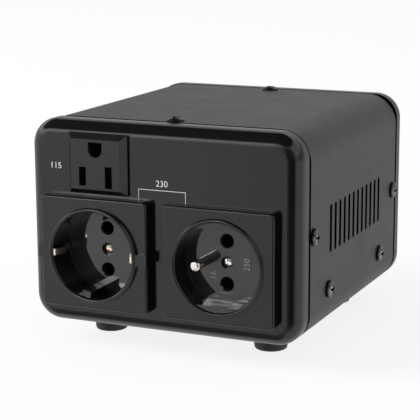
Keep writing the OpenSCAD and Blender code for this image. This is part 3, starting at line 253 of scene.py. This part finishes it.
def hang_lamp(name, place, size, power, mirrored, roll=0.0):
    """A soft box at a place, turned to the aim point and rolled about its own axis."""
    bpy.ops.object.light_add(type="AREA", location=place)
    lamp = bpy.context.object
    lamp.name = name
    lamp.data.shape = "RECTANGLE"
    lamp.data.size, lamp.data.size_y = size
    lamp.data.energy = power
    lamp.visible_glossy = mirrored
    aimed = (LAMP_AIM - Vector(place)).to_track_quat("-Z", "Y").to_matrix()
    lamp.rotation_euler = (aimed @ Matrix.Rotation(roll, 3, "Z")).to_euler()
    return lamp


def keep_to(lamp, names):
    """Lets a lamp reach only the named pieces."""
    reached = bpy.data.collections.new(lamp.name + "_reach")
    for name in names:
        reached.objects.link(nodes[name])
    lamp.light_linking.receiver_collection = reached


lamps = {name: hang_lamp(name, **values) for name, values in LAMPS.items()}
for lamp_name, reached_names in SPARKLING.items():
    keep_to(lamps[lamp_name], reached_names)
print("lamps:", sorted(lamps))

# %% [markdown]
# Every finish starts from the same small kit: a Principled shader, the piece's own Object coordinates,
# and noise at the size of the real grain. A value that is the same all over is set on the shader's
# socket, and only what changes over the surface is linked. The grain is a bump in millimetres, so it
# keeps its real depth.

# %% Finish kit
# Near-black tone of the painted shade in grooves, on cut ends and in vent slots.
SHADE_TONE = (0.001, 0.001, 0.001)
EDGE_SAMPLES = 6


class Finish:
    """One procedural material, with short ways to add the nodes that the finishes share."""

    def __init__(self, name, colour, roughness, metallic=0.0):
        self.material = bpy.data.materials.new(name)
        self.material.use_nodes = True
        self.tree = self.material.node_tree
        self.shader = self.tree.nodes["Principled BSDF"]
        self.place = add_node(self.tree, "ShaderNodeTexCoord").outputs["Object"]
        self.normal = None
        self.gloss = roughness
        self.feed("Base Color", (*colour, 1))
        self.feed("Roughness", roughness)
        self.feed("Metallic", metallic)

    def feed(self, socket, value):
        """Sets or links a socket of the shader."""
        feed(self.tree, self.shader.inputs[socket], value)

    def stretched(self, scale):
        """Object coordinates scaled differently along each axis."""
        mapping = add_node(self.tree, "ShaderNodeMapping")
        mapping.inputs["Scale"].default_value = scale
        feed(self.tree, mapping.inputs["Vector"], self.place)
        return mapping.outputs["Vector"]

    def noise(self, size_mm, detail=2.0, source=None):
        """Noise whose blobs are about size_mm across."""
        texture = add_node(self.tree, "ShaderNodeTexNoise")
        texture.inputs["Scale"].default_value = 1.0 / (size_mm * MM)
        texture.inputs["Detail"].default_value = detail
        feed(self.tree, texture.inputs["Vector"], self.place if source is None else source)
        return texture.outputs["Fac"]

    def span(self, source, low, high, start=0.3, end=0.7):
        """Maps a texture, most of which lies between start and end, to the range from low to high."""
        return soft_step(self.tree, source, start, end, low, high)

    def bump(self, height, depth_mm, strength=1.0):
        """Adds a bump of that depth on top of the bumps so far."""
        node = add_node(self.tree, "ShaderNodeBump")
        node.inputs["Distance"].default_value = depth_mm * MM
        feed(self.tree, node.inputs["Strength"], strength)
        feed(self.tree, node.inputs["Height"], height)
        if self.normal is not None:
            feed(self.tree, node.inputs["Normal"], self.normal)
        self.normal = node.outputs["Normal"]
        self.feed("Normal", self.normal)

    def two_tones(self, amount, first, second):
        """Base colour between two tones, by a texture from 0 to 1."""
        node = add_node(self.tree, "ShaderNodeMix", data_type="RGBA")
        node.inputs["A"].default_value = (*first, 1)
        node.inputs["B"].default_value = (*second, 1)
        feed(self.tree, node.inputs["Factor"], amount)
        self.feed("Base Color", node.outputs["Result"])

    def uneven_gloss(self, size_mm, low, high):
        """Roughness that wanders between two values, as handling and moulding leave it."""
        self.gloss = self.span(self.noise(size_mm), low, high)
        self.feed("Roughness", self.gloss)

    def soft_edges(self, radius_mm):
        """Rounds sharp edges in the shading, so that they catch a line of light."""
        node = add_node(self.tree, "ShaderNodeBevel", samples=EDGE_SAMPLES)
        node.inputs["Radius"].default_value = radius_mm * MM
        self.normal = node.outputs["Normal"]
        self.feed("Normal", self.normal)

    def round_zone(self, middle, radius_mm, blur_mm):
        """0 inside a round zone about an axis along y, and 1 outside it."""
        flat = add_node(self.tree, "ShaderNodeVectorMath", operation="MULTIPLY")
        feed(self.tree, flat.inputs[0], self.place)
        flat.inputs[1].default_value = (1, 0, 1)
        reach = add_node(self.tree, "ShaderNodeVectorMath", operation="DISTANCE")
        feed(self.tree, reach.inputs[0], flat.outputs[0])
        reach.inputs[1].default_value = (middle.x, 0, middle.z)
        edge = (radius_mm - blur_mm) * MM, (radius_mm + blur_mm) * MM
        return soft_step(self.tree, reach.outputs["Value"], *edge, 0.0, 1.0)

    def apart(self, way, middle, near, far, low, high):
        """A step from low to high as the distance from a middle plane goes from near to far."""
        offset = arithmetic(self.tree, "SUBTRACT", along(self.tree, self.place, way), middle)
        reach = arithmetic(self.tree, "ABSOLUTE", offset, 0.0)
        return soft_step(self.tree, reach, near, far, low, high)

    def deep_shade(self, amount, tone):
        """Paints shade: near-black and matt where the amount is 1, so it mirrors almost nothing."""
        self.two_tones(amount, tone, SHADE_TONE)
        self.feed("Metallic", amount)
        self.feed("Roughness", arithmetic(self.tree, "MAXIMUM", self.gloss, amount))


def dress(finish, *names):
    """Gives a finish to CAD nodes by name."""
    for name in names:
        for material_slot in nodes[name].material_slots:
            material_slot.material = finish.material
    print(finish.material.name, "on", len(names), "nodes")


def middle_of(name):
    """The middle of a CAD node's box."""
    low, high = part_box(name)
    return (low + high) / 2


print("finish kit ready")

# %% [markdown]
# The two bezels are moulded in black plastic with a fine satin grain. The grain is too small to see from
# a step away, but it softens the mirror image of the room into a sheen. Behind its rim each bezel steps
# down to carry the cover, which leaves a groove between the two. The step and the rim's last edge are
# painted near-black there, as painted shade for the groove.

# %% Bezel plastic
BEZEL_TONE = (0.004, 0.004, 0.0041)
RIM_DEPTH = 11.0 * MM
RIM_SHADE_EDGE = (0.6 * MM, 1.3 * MM)
ALONG_X, ALONG_Y, ALONG_Z = (1, 0, 0), (0, 1, 0), (0, 0, 1)
front_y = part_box("front_bezel")[0].y
rear_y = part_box("rear_bezel")[1].y
rim_start = (rear_y - front_y) / 2 - RIM_DEPTH
bezel_plastic = Finish("satin_bezel_plastic", BEZEL_TONE, 0.14)
# Mask of the painted shade on the step behind each rim and on the rim's last edge.
groove_shade_edges = [rim_start + edge for edge in RIM_SHADE_EDGE]
painted_groove_shade = bezel_plastic.apart(ALONG_Y, (front_y + rear_y) / 2, *groove_shade_edges, 1.0, 0.0)
bezel_plastic.soft_edges(0.25)
bezel_plastic.bump(bezel_plastic.noise(0.3, detail=3.0), 0.002)
bezel_plastic.uneven_gloss(9.0, 0.12, 0.15)
# Paints the groove's shade near-black over that mask.
bezel_plastic.deep_shade(painted_groove_shade, BEZEL_TONE)
dress(bezel_plastic, "front_bezel", "rear_bezel")

# %% [markdown]
# The cover and the base are folded steel sheet with a black powder coat. Powder melts into a skin with a
# gentle orange-peel wave, so this finish has a wider, shallower wave than the plastic and a fine grit on
# top. The cover's cut ends, the walls of its vent slots and a narrow rim round each slot are painted
# near-black, as painted shade: the ends and slots lie in deep shade, and the rim widens the shade of each
# slot. The ends are found by their distance from the cover's middle, and the slots by the distance from
# the nearest slot's middle line, which repeats along the row.

# %% Cover paint
PAINT_TONE = (0.027, 0.027, 0.0275)
CUT_END_SHADE = (0.15 * MM, 0.05 * MM)
SLOT_COUNT = 12
SLOT_PITCH = 6.1 * MM
SLOT_WIDTH = 2.2 * MM
SLOT_LENGTH = 21.0 * MM
SLOT_MIDDLE_Z = 54.8 * MM
SLOT_SHADE_RIM = (0.15 * MM, 0.5 * MM)


def powder_coat(name):
    """Black powder coat with an orange-peel wave and a fine grit."""
    made = Finish(name, PAINT_TONE, 0.42)
    made.soft_edges(0.3)
    made.bump(made.noise(1.6), 0.01)
    made.bump(made.noise(0.3), 0.006)
    made.uneven_gloss(14.0, 0.4, 0.44)
    return made


def slot_row(paint, middle_y):
    """1 in the vent slots and on a narrow rim of painted shade round each, and 0 elsewhere."""
    tree = paint.tree
    offset = arithmetic(tree, "SUBTRACT", along(tree, paint.place, ALONG_Y), middle_y)
    turn = arithmetic(tree, "PINGPONG", offset, SLOT_PITCH / 2)
    across = arithmetic(tree, "SUBTRACT", SLOT_PITCH / 2, turn)
    height = arithmetic(tree, "SUBTRACT", along(tree, paint.place, ALONG_Z), SLOT_MIDDLE_Z)
    half_line = (SLOT_LENGTH - SLOT_WIDTH) / 2
    past_line = arithmetic(tree, "SUBTRACT", arithmetic(tree, "ABSOLUTE", height, 0.0), half_line)
    upward = arithmetic(tree, "MAXIMUM", past_line, 0.0)
    squares = [arithmetic(tree, "MULTIPLY", value, value) for value in (across, upward)]
    reach = arithmetic(tree, "SQRT", arithmetic(tree, "ADD", *squares), 0.0)
    # The painted shade reaches a narrow rim past each slot's edge, so the slot looks wider.
    slots = soft_step(tree, reach, *[SLOT_WIDTH / 2 + roll for roll in SLOT_SHADE_RIM], 1.0, 0.0)
    row_end = SLOT_COUNT * SLOT_PITCH / 2
    row = paint.apart(ALONG_Y, middle_y, row_end, row_end + SLOT_SHADE_RIM[1], 1.0, 0.0)
    return arithmetic(tree, "MULTIPLY", slots, row)


def shade_cuts(paint, node):
    """Painted shade on the cut ends of the cover, in its vent slots and round them."""
    low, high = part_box(node)
    middle_y, half_y = (low.y + high.y) / 2, (high.y - low.y) / 2
    # Painted shade on the cover's cut ends and in and round its slots.
    shaded_ends = paint.apart(ALONG_Y, middle_y, *[half_y - edge for edge in CUT_END_SHADE], 0.0, 1.0)
    paint.deep_shade(arithmetic(paint.tree, "MAXIMUM", shaded_ends, slot_row(paint, middle_y)), PAINT_TONE)


cover_paint = powder_coat("black_powder_coat")
shade_cuts(cover_paint, "top_cover")
dress(cover_paint, "top_cover")
dress(powder_coat("black_base_coat"), "base_plate")

# %% [markdown]
# The round sockets are one moulding each, but their mould has two finishes: the plate is spark-eroded to
# a satin face, and the well is polished like a mirror, which a thin clear coat stands for. The distance
# from the well's axis tells the two apart. The polished walls sink a little as they cool, so what they
# mirror looks wavy. The floor of the well is worn paler by plugs, and the depth tells where it is.

# %% Socket plastic
WELL_RADIUS_MM = 19.6
WELL_EDGE_MM = 0.15
WELL_FLOOR_Y_MM = {"left": -64.8, "right": -67.3}
SOCKET_TONE = (0.005, 0.005, 0.0051)
WORN_TONE = (0.016, 0.016, 0.0162)
POLISH = 0.45
POLISHED_GLOSS = 0.05
COAT_GLOSS = 0.03
SINK_SIZE_MM = 12.0
SINK_DEPTH_MM = 0.27


def socket_plastic(side):
    """Satin on the plate, polish in the well and wear on its floor."""
    made = Finish(side + "_socket_plastic", SOCKET_TONE, 0.26)
    plate = made.round_zone(middle_of(side + "_socket_back"), WELL_RADIUS_MM, WELL_EDGE_MM)
    made.soft_edges(0.2)
    made.bump(made.noise(0.35, detail=3.0), 0.003, strength=plate)
    polished = made.span(plate, 1.0, 0.0, start=0.0, end=1.0)
    made.bump(made.noise(SINK_SIZE_MM, detail=1.0), SINK_DEPTH_MM, strength=polished)
    satin = arithmetic(made.tree, "MULTIPLY", made.span(made.noise(7.0), 0.19, 0.24), plate)
    made.feed("Roughness", arithmetic(made.tree, "MAXIMUM", satin, POLISHED_GLOSS))
    depth = along(made.tree, made.place, ALONG_Y)
    floor_edge = [(WELL_FLOOR_Y_MM[side] - edges * WELL_EDGE_MM) * MM for edges in (2, 1)]
    worn = made.span(made.noise(5.0, detail=3.0), 0.7, 1.0)
    floor = arithmetic(made.tree, "MULTIPLY", soft_step(made.tree, depth, *floor_edge, 0.0, 1.0), worn)
    made.two_tones(floor, SOCKET_TONE, WORN_TONE)
    made.feed("Coat Weight", arithmetic(made.tree, "MULTIPLY", polished, POLISH))
    made.feed("Coat Roughness", COAT_GLOSS)
    return made


for well_side in ("left", "right"):
    dress(socket_plastic(well_side), well_side + "_socket")

# %% [markdown]
# The flat-blade outlet is a separate moulding in a satin, slightly greyer plastic. It looks the same all
# over, so it needs no mask, and the plain kit is enough.

# %% Outlet plastic
outlet_plastic = Finish("satin_outlet_plastic", (0.008, 0.008, 0.0082), 0.28)
outlet_plastic.soft_edges(0.2)
outlet_plastic.bump(outlet_plastic.noise(0.4), 0.003)
outlet_plastic.uneven_gloss(6.0, 0.25, 0.3)
dress(outlet_plastic, "blade_outlet")

# %% [markdown]
# The housings behind the sockets and the fittings of the rear face are plain mouldings. They differ only
# in colour, grain and gloss: the rocker is glossy, and the slider is red so that its setting is easy to
# see. The same few calls with other numbers make them all.

# %% Inner and rear plastics
housing_plastic = Finish("plain_housing_plastic", (0.012, 0.012, 0.0125), 0.5)
housing_plastic.bump(housing_plastic.noise(0.6), 0.01)
housing_plastic.uneven_gloss(8.0, 0.45, 0.58)
dress(housing_plastic, "left_socket_back", "right_socket_back", "blade_outlet_back")

rear_plastic = Finish("black_fitting_plastic", (0.007, 0.007, 0.0072), 0.34)
rear_plastic.soft_edges(0.2)
rear_plastic.bump(rear_plastic.noise(0.45), 0.006)
rear_plastic.uneven_gloss(6.0, 0.3, 0.38)
dress(rear_plastic, "inlet_body", "switch_frame", "selector_frame", "fuse_holder", "fuse_nut", "fuse_cap")

rocker_plastic = Finish("glossy_rocker_plastic", (0.006, 0.006, 0.0062), 0.12)
rocker_plastic.soft_edges(0.25)
rocker_plastic.uneven_gloss(5.0, 0.1, 0.15)
dress(rocker_plastic, "switch_rocker")

slider_plastic = Finish("red_slider_plastic", (0.42, 0.03, 0.02), 0.35)
slider_plastic.soft_edges(0.2)
slider_plastic.bump(slider_plastic.noise(0.5), 0.008)
slider_plastic.uneven_gloss(4.0, 0.32, 0.42)
dress(slider_plastic, "selector_slider")

# %% [markdown]
# Rubber feet are matt, and their skin is a little blotchy from the mould's release powder. Two dark
# tones, mixed by noise, show the powder, and a coarser bump gives the skin.

# %% Foot rubber
foot_rubber = Finish("black_foot_rubber", (0.008, 0.008, 0.008), 0.6)
foot_rubber.bump(foot_rubber.noise(0.7, detail=4.0), 0.03)
powder = foot_rubber.span(foot_rubber.noise(5.0, detail=3.0), 0, 1)
foot_rubber.two_tones(powder, (0.006, 0.006, 0.006), (0.012, 0.012, 0.012))
dress(foot_rubber, "foot_front_left", "foot_front_right", "foot_rear_left", "foot_rear_right")

# %% [markdown]
# The case screws are black zinc over steel, bright but dark, with a faint brownish cast where it catches
# the light. Their pressed heads are a little wavy, so each mirrors the room in small glints, and noise
# makes their tone patchy. The foot of the heads on the cover's sides is painted dark, as painted shade
# that makes each head's dark side look taller, and the inlet's two screws at the rear have none. The two
# screws in the top are painted black.

# %% Black screws
DARK_ZINC = (0.012, 0.009, 0.01)
BRIGHT_ZINC = (0.42, 0.36, 0.374)
FOOT_SHADE_SHARE = 0.3
side_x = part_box("top_cover")[1].x
head_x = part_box("side_end_screws")[1].x


def black_zinc(name, heads_on_sides):
    """Wavy black zinc with patchy tone, and painted shade at the foot of heads on the cover's sides."""
    made = Finish(name, BRIGHT_ZINC, 0.15, metallic=1.0)
    made.bump(made.noise(1.5, detail=1.0), 0.16)
    patchy_tone_and_foot_shade = made.span(made.noise(1.4), 0.35, 1)
    if heads_on_sides:
        # Painted shade: the lower part of each side head is painted dark, like the shade on its side wall.
        foot_shade_x = side_x + FOOT_SHADE_SHARE * (head_x - side_x)
        unshaded = made.apart(ALONG_X, 0.0, foot_shade_x, head_x, 0.0, 1.0)
        patchy_tone_and_foot_shade = arithmetic(made.tree, "MULTIPLY", unshaded, patchy_tone_and_foot_shade)
    made.two_tones(patchy_tone_and_foot_shade, DARK_ZINC, BRIGHT_ZINC)
    return made


dress(black_zinc("black_zinc_screws", True), "side_end_screws", "side_base_screws")
dress(black_zinc("black_zinc_inlet_screws", False), "inlet_screws")
print("side screw heads are", round((head_x - side_x) / MM, 2), "mm high")

painted_screws = Finish("black_painted_screws", (0.006, 0.006, 0.0062), 0.2)
painted_screws.bump(painted_screws.noise(0.6), 0.004)
painted_screws.uneven_gloss(2.0, 0.16, 0.24)
dress(painted_screws, "top_cover_screws")

# %% [markdown]
# The bare and plated metals: bright nickel on the earth pin, the right screw, the inlet's pins and the
# fuse's end caps, a warmer tin on the left socket's strap and screw, zinc on the chassis, brass on the
# outlet's contacts, and dull bronze deep in the round sockets. They are smooth with hair scratches, which
# are noise drawn out long in one direction.

# %% Metals
HAIR_STRETCH = (1.0, 0.08, 1.0)
HAIR_GLOSS = (0.75, 1.35)
HAIR_DEPTH_MM = 0.004


def plated(name, colour, roughness, scratch_mm):
    """Metal with hair scratches along y."""
    metal = Finish(name, colour, roughness, metallic=1.0)
    hairs = metal.noise(scratch_mm, detail=3.0, source=metal.stretched(HAIR_STRETCH))
    metal.feed("Roughness", metal.span(hairs, *[roughness * share for share in HAIR_GLOSS]))
    metal.bump(hairs, HAIR_DEPTH_MM)
    return metal


dress(plated("bright_nickel_plating", (0.82, 0.78, 0.75), 0.16, 0.3), "right_earth_pin", "right_screw",
      "inlet_line_pins", "inlet_earth_pin", "fuse_end_caps")
dress(plated("warm_tin_plating", (0.85, 0.73, 0.63), 0.17, 0.3), "left_earth_strap", "left_screw")
dress(plated("zinc_plated_steel", (0.6, 0.61, 0.62), 0.36, 0.6), "foot_screws", "base_end_screws",
      "transformer_strap", "strap_screws", "strap_nuts", "core_bolts", "core_nuts", "inlet_nuts",
      "switch_tabs", "selector_pins")
dress(plated("stamped_brass", (0.72, 0.53, 0.2), 0.27, 0.4), "blade_contacts", "blade_earth_contact",
      "fuse_terminals")
dress(plated("dull_bronze", (0.16, 0.12, 0.08), 0.45, 0.4), "left_contacts", "right_contacts")

# %% [markdown]
# The transformer is hidden, but whoever takes the cover off finds it finished too. Laminations show as
# fine lines across the stack, the windings as turns of enamelled wire, and the tape as overlapping wraps.
# A Wave texture draws such lines at a real pitch. The bobbin is natural nylon, which lets a little light
# in.

# %% Transformer finishes
BAND_WAVER = 0.15


def banded(name, colours, roughness, pitch_mm, axis, metallic, depth_mm):
    """A finish with straight bands at a real pitch along one axis."""
    made = Finish(name, colours[0], roughness, metallic=metallic)
    wave = add_node(made.tree, "ShaderNodeTexWave", bands_direction=axis)
    # One band of a Wave texture is pi / (10 * Scale) long.
    wave.inputs["Scale"].default_value = math.pi / (10.0 * pitch_mm * MM)
    wave.inputs["Distortion"].default_value = BAND_WAVER
    feed(made.tree, wave.inputs["Vector"], made.place)
    made.two_tones(wave.outputs["Fac"], *colours)
    made.bump(wave.outputs["Fac"], depth_mm)
    return made


dress(banded("lamination_steel", ((0.16, 0.155, 0.15), (0.06, 0.058, 0.056)), 0.5, 0.5, "Y", 0.7, 0.06),
      "core_e_stack", "core_i_stack")
dress(banded("enamelled_wire", ((0.5, 0.17, 0.06), (0.24, 0.07, 0.025)), 0.25, 0.8, "Z", 0.8, 0.2),
      "primary_winding", "secondary_winding")
dress(banded("yellow_wrap_tape", ((0.78, 0.6, 0.05), (0.62, 0.46, 0.04)), 0.25, 9.0, "Z", 0.0, 0.05),
      "winding_tape")
nylon = Finish("natural_nylon", (0.68, 0.64, 0.52), 0.45)
nylon.feed("Subsurface Weight", 0.15)
nylon.bump(nylon.noise(0.8), 0.01)
dress(nylon, "bobbin")

# %% [markdown]
# The fuse is a tube of clear glass. Drawn glass is smooth, with slight waves that bend what is seen
# through it.

# %% Fuse glass
glass = Finish("fuse_tube_glass", (0.95, 0.98, 0.98), 0.03)
glass.feed("Transmission Weight", 1.0)
glass.feed("IOR", 1.5)
glass.bump(glass.noise(4.0, detail=1.0), 0.01)
dress(glass, "fuse_glass")

# %% [markdown]
# The marks on the object are thin pieces of their own, because ink that is screen-printed has a thickness
# too, if only a fiftieth of a millimetre. An image texture would need a file, and a mask made of nodes
# would need many of them for each numeral. The ink is an off-white with small uneven spots, as a print on
# a grained panel has.

# %% Print ink
INK_THICKNESS = 0.02 * MM
ink = Finish("white_print_ink", (0.72, 0.72, 0.7), 0.5)
ink.two_tones(ink.span(ink.noise(0.3, detail=3.0), 0, 1), (0.62, 0.62, 0.6), (0.8, 0.8, 0.78))
ink.uneven_gloss(0.8, 0.42, 0.58)
print("ink:", ink.material.name)

# %% [markdown]
# Each mark is drawn lying flat, where its shape is easy to make, and then stood up on its face. The turn
# and the place are applied, so that the finished piece sits at the origin with its place in its mesh, as
# the CAD nodes do.

# %% Standing a mark on its face


def only(piece):
    """Selects one piece and makes it active."""
    bpy.ops.object.select_all(action="DESELECT")
    piece.select_set(True)
    bpy.context.view_layer.objects.active = piece


def stand_up(piece, place, behind=False, turn=0.0):
    """Turns a flat mark in its own plane, stands it upright facing front or rear, and applies its place."""
    only(piece)
    upright = Matrix.Rotation(math.pi if behind else 0.0, 4, "Z") @ Matrix.Rotation(math.pi / 2, 4, "X")
    piece.matrix_world = Matrix.Translation(place) @ upright @ Matrix.Rotation(turn, 4, "Z")
    bpy.ops.object.transform_apply(location=True, rotation=True, scale=True)


def finish_mark(piece, name, finish, body):
    """Names a mark, gives it its finish and lets it ride on a body."""
    piece.name = name
    piece.data.name = name
    piece.data.materials.clear()
    piece.data.materials.append(finish.material)
    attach(piece, body)
    low, high = piece.bound_box[0], piece.bound_box[6]
    print(name, "size in mm:", [round((b - a) / MM, 2) for a, b in zip(low, high)])


print("mark helpers ready")

# %% [markdown]
# Numerals start as a text object with a little depth. Once it is a mesh, its height is set by measuring
# what the font gave. Its front, back and sides are still loose sheets, so their doubles are merged and
# the normals made to point outwards.

# %% Numerals
MERGE = 0.0005 * MM
CURVE_STEPS = 6


def numerals(name, text, height, depth, place, finish, body="case", behind=False, turn=0.0):
    """Plain digits of a set height and depth, standing on a face."""
    bpy.ops.object.select_all(action="DESELECT")
    bpy.ops.object.text_add()
    lettering = bpy.context.object
    lettering.data.body = text
    lettering.data.align_x = "CENTER"
    lettering.data.align_y = "CENTER"
    lettering.data.size = height
    lettering.data.extrude = depth / 2
    lettering.data.resolution_u = CURVE_STEPS
    bpy.ops.object.convert(target="MESH")
    mark = bpy.context.object
    grow = height / mark.dimensions.y
    mark.scale = (grow, grow, 1)
    bpy.ops.object.transform_apply(location=False, rotation=False, scale=True)
    bpy.ops.object.mode_set(mode="EDIT")
    bpy.ops.mesh.select_all(action="SELECT")
    bpy.ops.mesh.remove_doubles(threshold=MERGE)
    bpy.ops.mesh.normals_make_consistent(inside=False)
    bpy.ops.object.mode_set(mode="OBJECT")
    stand_up(mark, place, behind, turn)
    finish_mark(mark, name, finish, body)
    return mark


print("numeral maker ready")

# %% [markdown]
# On the front, plain numbers tell the two output voltages apart, one beside the flat-blade outlet and one
# over the two round sockets. They lie on the front face, whose depth is already known from the bezel's
# own box.

# %% Front numbers
PRINT_HEIGHT = 2.7 * MM
FLAT_BLADE_MARK = Vector((-51.0, 0, 81.0)) * MM
ROUND_MARK = Vector((0.8, 0, 76.3)) * MM


def on_face(place):
    """A place on the front face, half an ink's thickness in front of it."""
    return Vector((place.x, front_y - INK_THICKNESS / 2, place.z))


numerals("print_115", "115", PRINT_HEIGHT, INK_THICKNESS, on_face(FLAT_BLADE_MARK), ink)
numerals("print_230", "230", PRINT_HEIGHT, INK_THICKNESS, on_face(ROUND_MARK), ink)

# %% [markdown]
# A printed bracket joins the two round sockets under their number. It begins as one rectangle. Insetting
# it makes a frame of even width, deleting the inner face opens it, and a bisect cuts off the lower side.

# %% Bracket
BRACKET_TOP = 73.6 * MM
BRACKET_LOW = 68.5 * MM
BRACKET_X = (-10.5 * MM, 12.1 * MM)
BRACKET_LINE = 0.28 * MM


def printed_bracket():
    """A bracket of thin ink on the front face, open below."""
    width = BRACKET_X[1] - BRACKET_X[0]
    height = BRACKET_TOP - BRACKET_LOW + BRACKET_LINE
    bpy.ops.object.select_all(action="DESELECT")
    bpy.ops.mesh.primitive_plane_add(size=1)
    mark = bpy.context.object
    mark.scale = (width, height, 1)
    bpy.ops.object.transform_apply(location=False, rotation=False, scale=True)
    bpy.ops.object.mode_set(mode="EDIT")
    bpy.ops.mesh.select_all(action="SELECT")
    bpy.ops.mesh.inset(thickness=BRACKET_LINE, depth=0)
    bpy.ops.mesh.delete(type="FACE")
    bpy.ops.mesh.select_all(action="SELECT")
    cut = (0, BRACKET_LINE - height / 2, 0)
    bpy.ops.mesh.bisect(plane_co=cut, plane_no=(0, 1, 0), clear_inner=True, threshold=MERGE)
    bpy.ops.mesh.select_all(action="SELECT")
    bpy.ops.mesh.extrude_region_move(TRANSFORM_OT_translate={"value": (0, 0, INK_THICKNESS)})
    bpy.ops.mesh.select_all(action="SELECT")
    bpy.ops.mesh.normals_make_consistent(inside=False)
    bpy.ops.object.mode_set(mode="OBJECT")
    middle = Vector((sum(BRACKET_X) / 2, front_y, BRACKET_TOP - height / 2))
    stand_up(mark, middle)
    finish_mark(mark, "print_bracket", ink, "case")


printed_bracket()

# %% [markdown]
# The floor of the right well has small raised numbers that come out of the mould with it, in the socket's
# own plastic. Their tops are left rough by the engraver, and their colour is painted much paler than the
# socket's, as a painted highlight for the light their edges catch. They read upwards, beside the pin holes.

# %% Moulded numbers
MOULDED_HEIGHT = 2.6 * MM
MOULDED_DEPTH = 0.25 * MM
MOULDED_NUMBERS = {"moulded_250": ("250", 9.5 * MM, 0.0), "moulded_16": ("16", -6.2 * MM, -6.0 * MM)}
well_middle = middle_of("right_socket_back")
moulded_y = WELL_FLOOR_Y_MM["right"] * MM - MOULDED_DEPTH / 2
# Painted highlight: the numerals' pale colour stands for the light that their edges catch.
engraved_painted_highlight = Finish("engraved_numerals_painted_highlight", (0.31, 0.31, 0.312), 0.5)
engraved_painted_highlight.bump(engraved_painted_highlight.noise(0.15), 0.01)
engraved_painted_highlight.uneven_gloss(0.5, 0.42, 0.55)
for mark_name, (digits, across, up) in MOULDED_NUMBERS.items():
    floor_place = Vector((well_middle.x + across, moulded_y, well_middle.z + up))
    moulded = numerals(mark_name, digits, MOULDED_HEIGHT, MOULDED_DEPTH, floor_place, engraved_painted_highlight,
                       turn=math.pi / 2)

# %% [markdown]
# At the rear, the voltage selector has its two settings printed on its frame, on the sides that the
# slider moves to. Seen from behind, left and right are swapped.

# %% Selector numbers
SELECTOR_HEIGHT = 1.7 * MM
SELECTOR_OFF = 11.6 * MM
frame_middle = middle_of("selector_frame")
selector_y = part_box("selector_frame")[1].y + INK_THICKNESS / 2
for digits, side in (("115", 1), ("230", -1)):
    frame_place = Vector((frame_middle.x + side * SELECTOR_OFF, selector_y, frame_middle.z))
    numerals("selector_" + digits, digits, SELECTOR_HEIGHT, INK_THICKNESS, frame_place, ink, behind=True)

# %% [markdown]
# The rocker carries a bar and a ring for on and off. Its face is dished and tilted, so each flat mark is
# made with a few extra edges and shrink-wrapped onto the rocker from behind, and only then gets its
# thickness.

# %% Rocker marks
BAR_SIZE = (0.8 * MM, 3.4 * MM)
RING_RADIUS = 1.75 * MM
RING_LINE = 0.6 * MM
ROCKER_MARK_OFF = 4.3 * MM
ROCKER_INK_LIFT = 0.01 * MM
WRAP_START = 1.0 * MM
BAR_CUTS = 5
RING_POINTS = 40


def flat_bar():
    """A flat bar with enough edges to follow the dish."""
    bpy.ops.mesh.primitive_plane_add(size=1)
    mark = bpy.context.object
    mark.scale = (*BAR_SIZE, 1)
    bpy.ops.object.transform_apply(location=False, rotation=False, scale=True)
    bpy.ops.object.mode_set(mode="EDIT")
    bpy.ops.mesh.select_all(action="SELECT")
    bpy.ops.mesh.subdivide(number_cuts=BAR_CUTS)
    bpy.ops.object.mode_set(mode="OBJECT")
    return mark


def flat_ring():
    """A flat ring of even width."""
    bpy.ops.mesh.primitive_circle_add(vertices=RING_POINTS, radius=RING_RADIUS, fill_type="NGON")
    mark = bpy.context.object
    bpy.ops.object.mode_set(mode="EDIT")
    bpy.ops.mesh.select_all(action="SELECT")
    bpy.ops.mesh.inset(thickness=RING_LINE, depth=0)
    bpy.ops.mesh.delete(type="FACE")
    bpy.ops.object.mode_set(mode="OBJECT")
    return mark


def wrap_on_rocker(mark, name, up):
    """Lays a flat mark on the rocker's face and gives it the thickness of ink."""
    middle = middle_of("switch_rocker")
    behind_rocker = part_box("switch_rocker")[1].y + WRAP_START
    stand_up(mark, Vector((middle.x, behind_rocker, middle.z + up)), behind=True)
    wrap = mark.modifiers.new("wrap", "SHRINKWRAP")
    wrap.target = nodes["switch_rocker"]
    wrap.wrap_method = "PROJECT"
    wrap.use_project_x = False
    wrap.use_project_y = True
    wrap.use_project_z = False
    wrap.use_positive_direction = False
    wrap.use_negative_direction = True
    wrap.offset = ROCKER_INK_LIFT
    skin = mark.modifiers.new("skin", "SOLIDIFY")
    skin.thickness = INK_THICKNESS
    skin.offset = 1.0
    only(mark)
    for modifier in ("wrap", "skin"):
        bpy.ops.object.modifier_apply(modifier=modifier)
    finish_mark(mark, name, ink, "rocker")


for make_mark, mark_name, mark_up in ((flat_bar, "rocker_bar", 1), (flat_ring, "rocker_ring", -1)):
    bpy.ops.object.select_all(action="DESELECT")
    wrap_on_rocker(make_mark(), mark_name, mark_up * ROCKER_MARK_OFF)
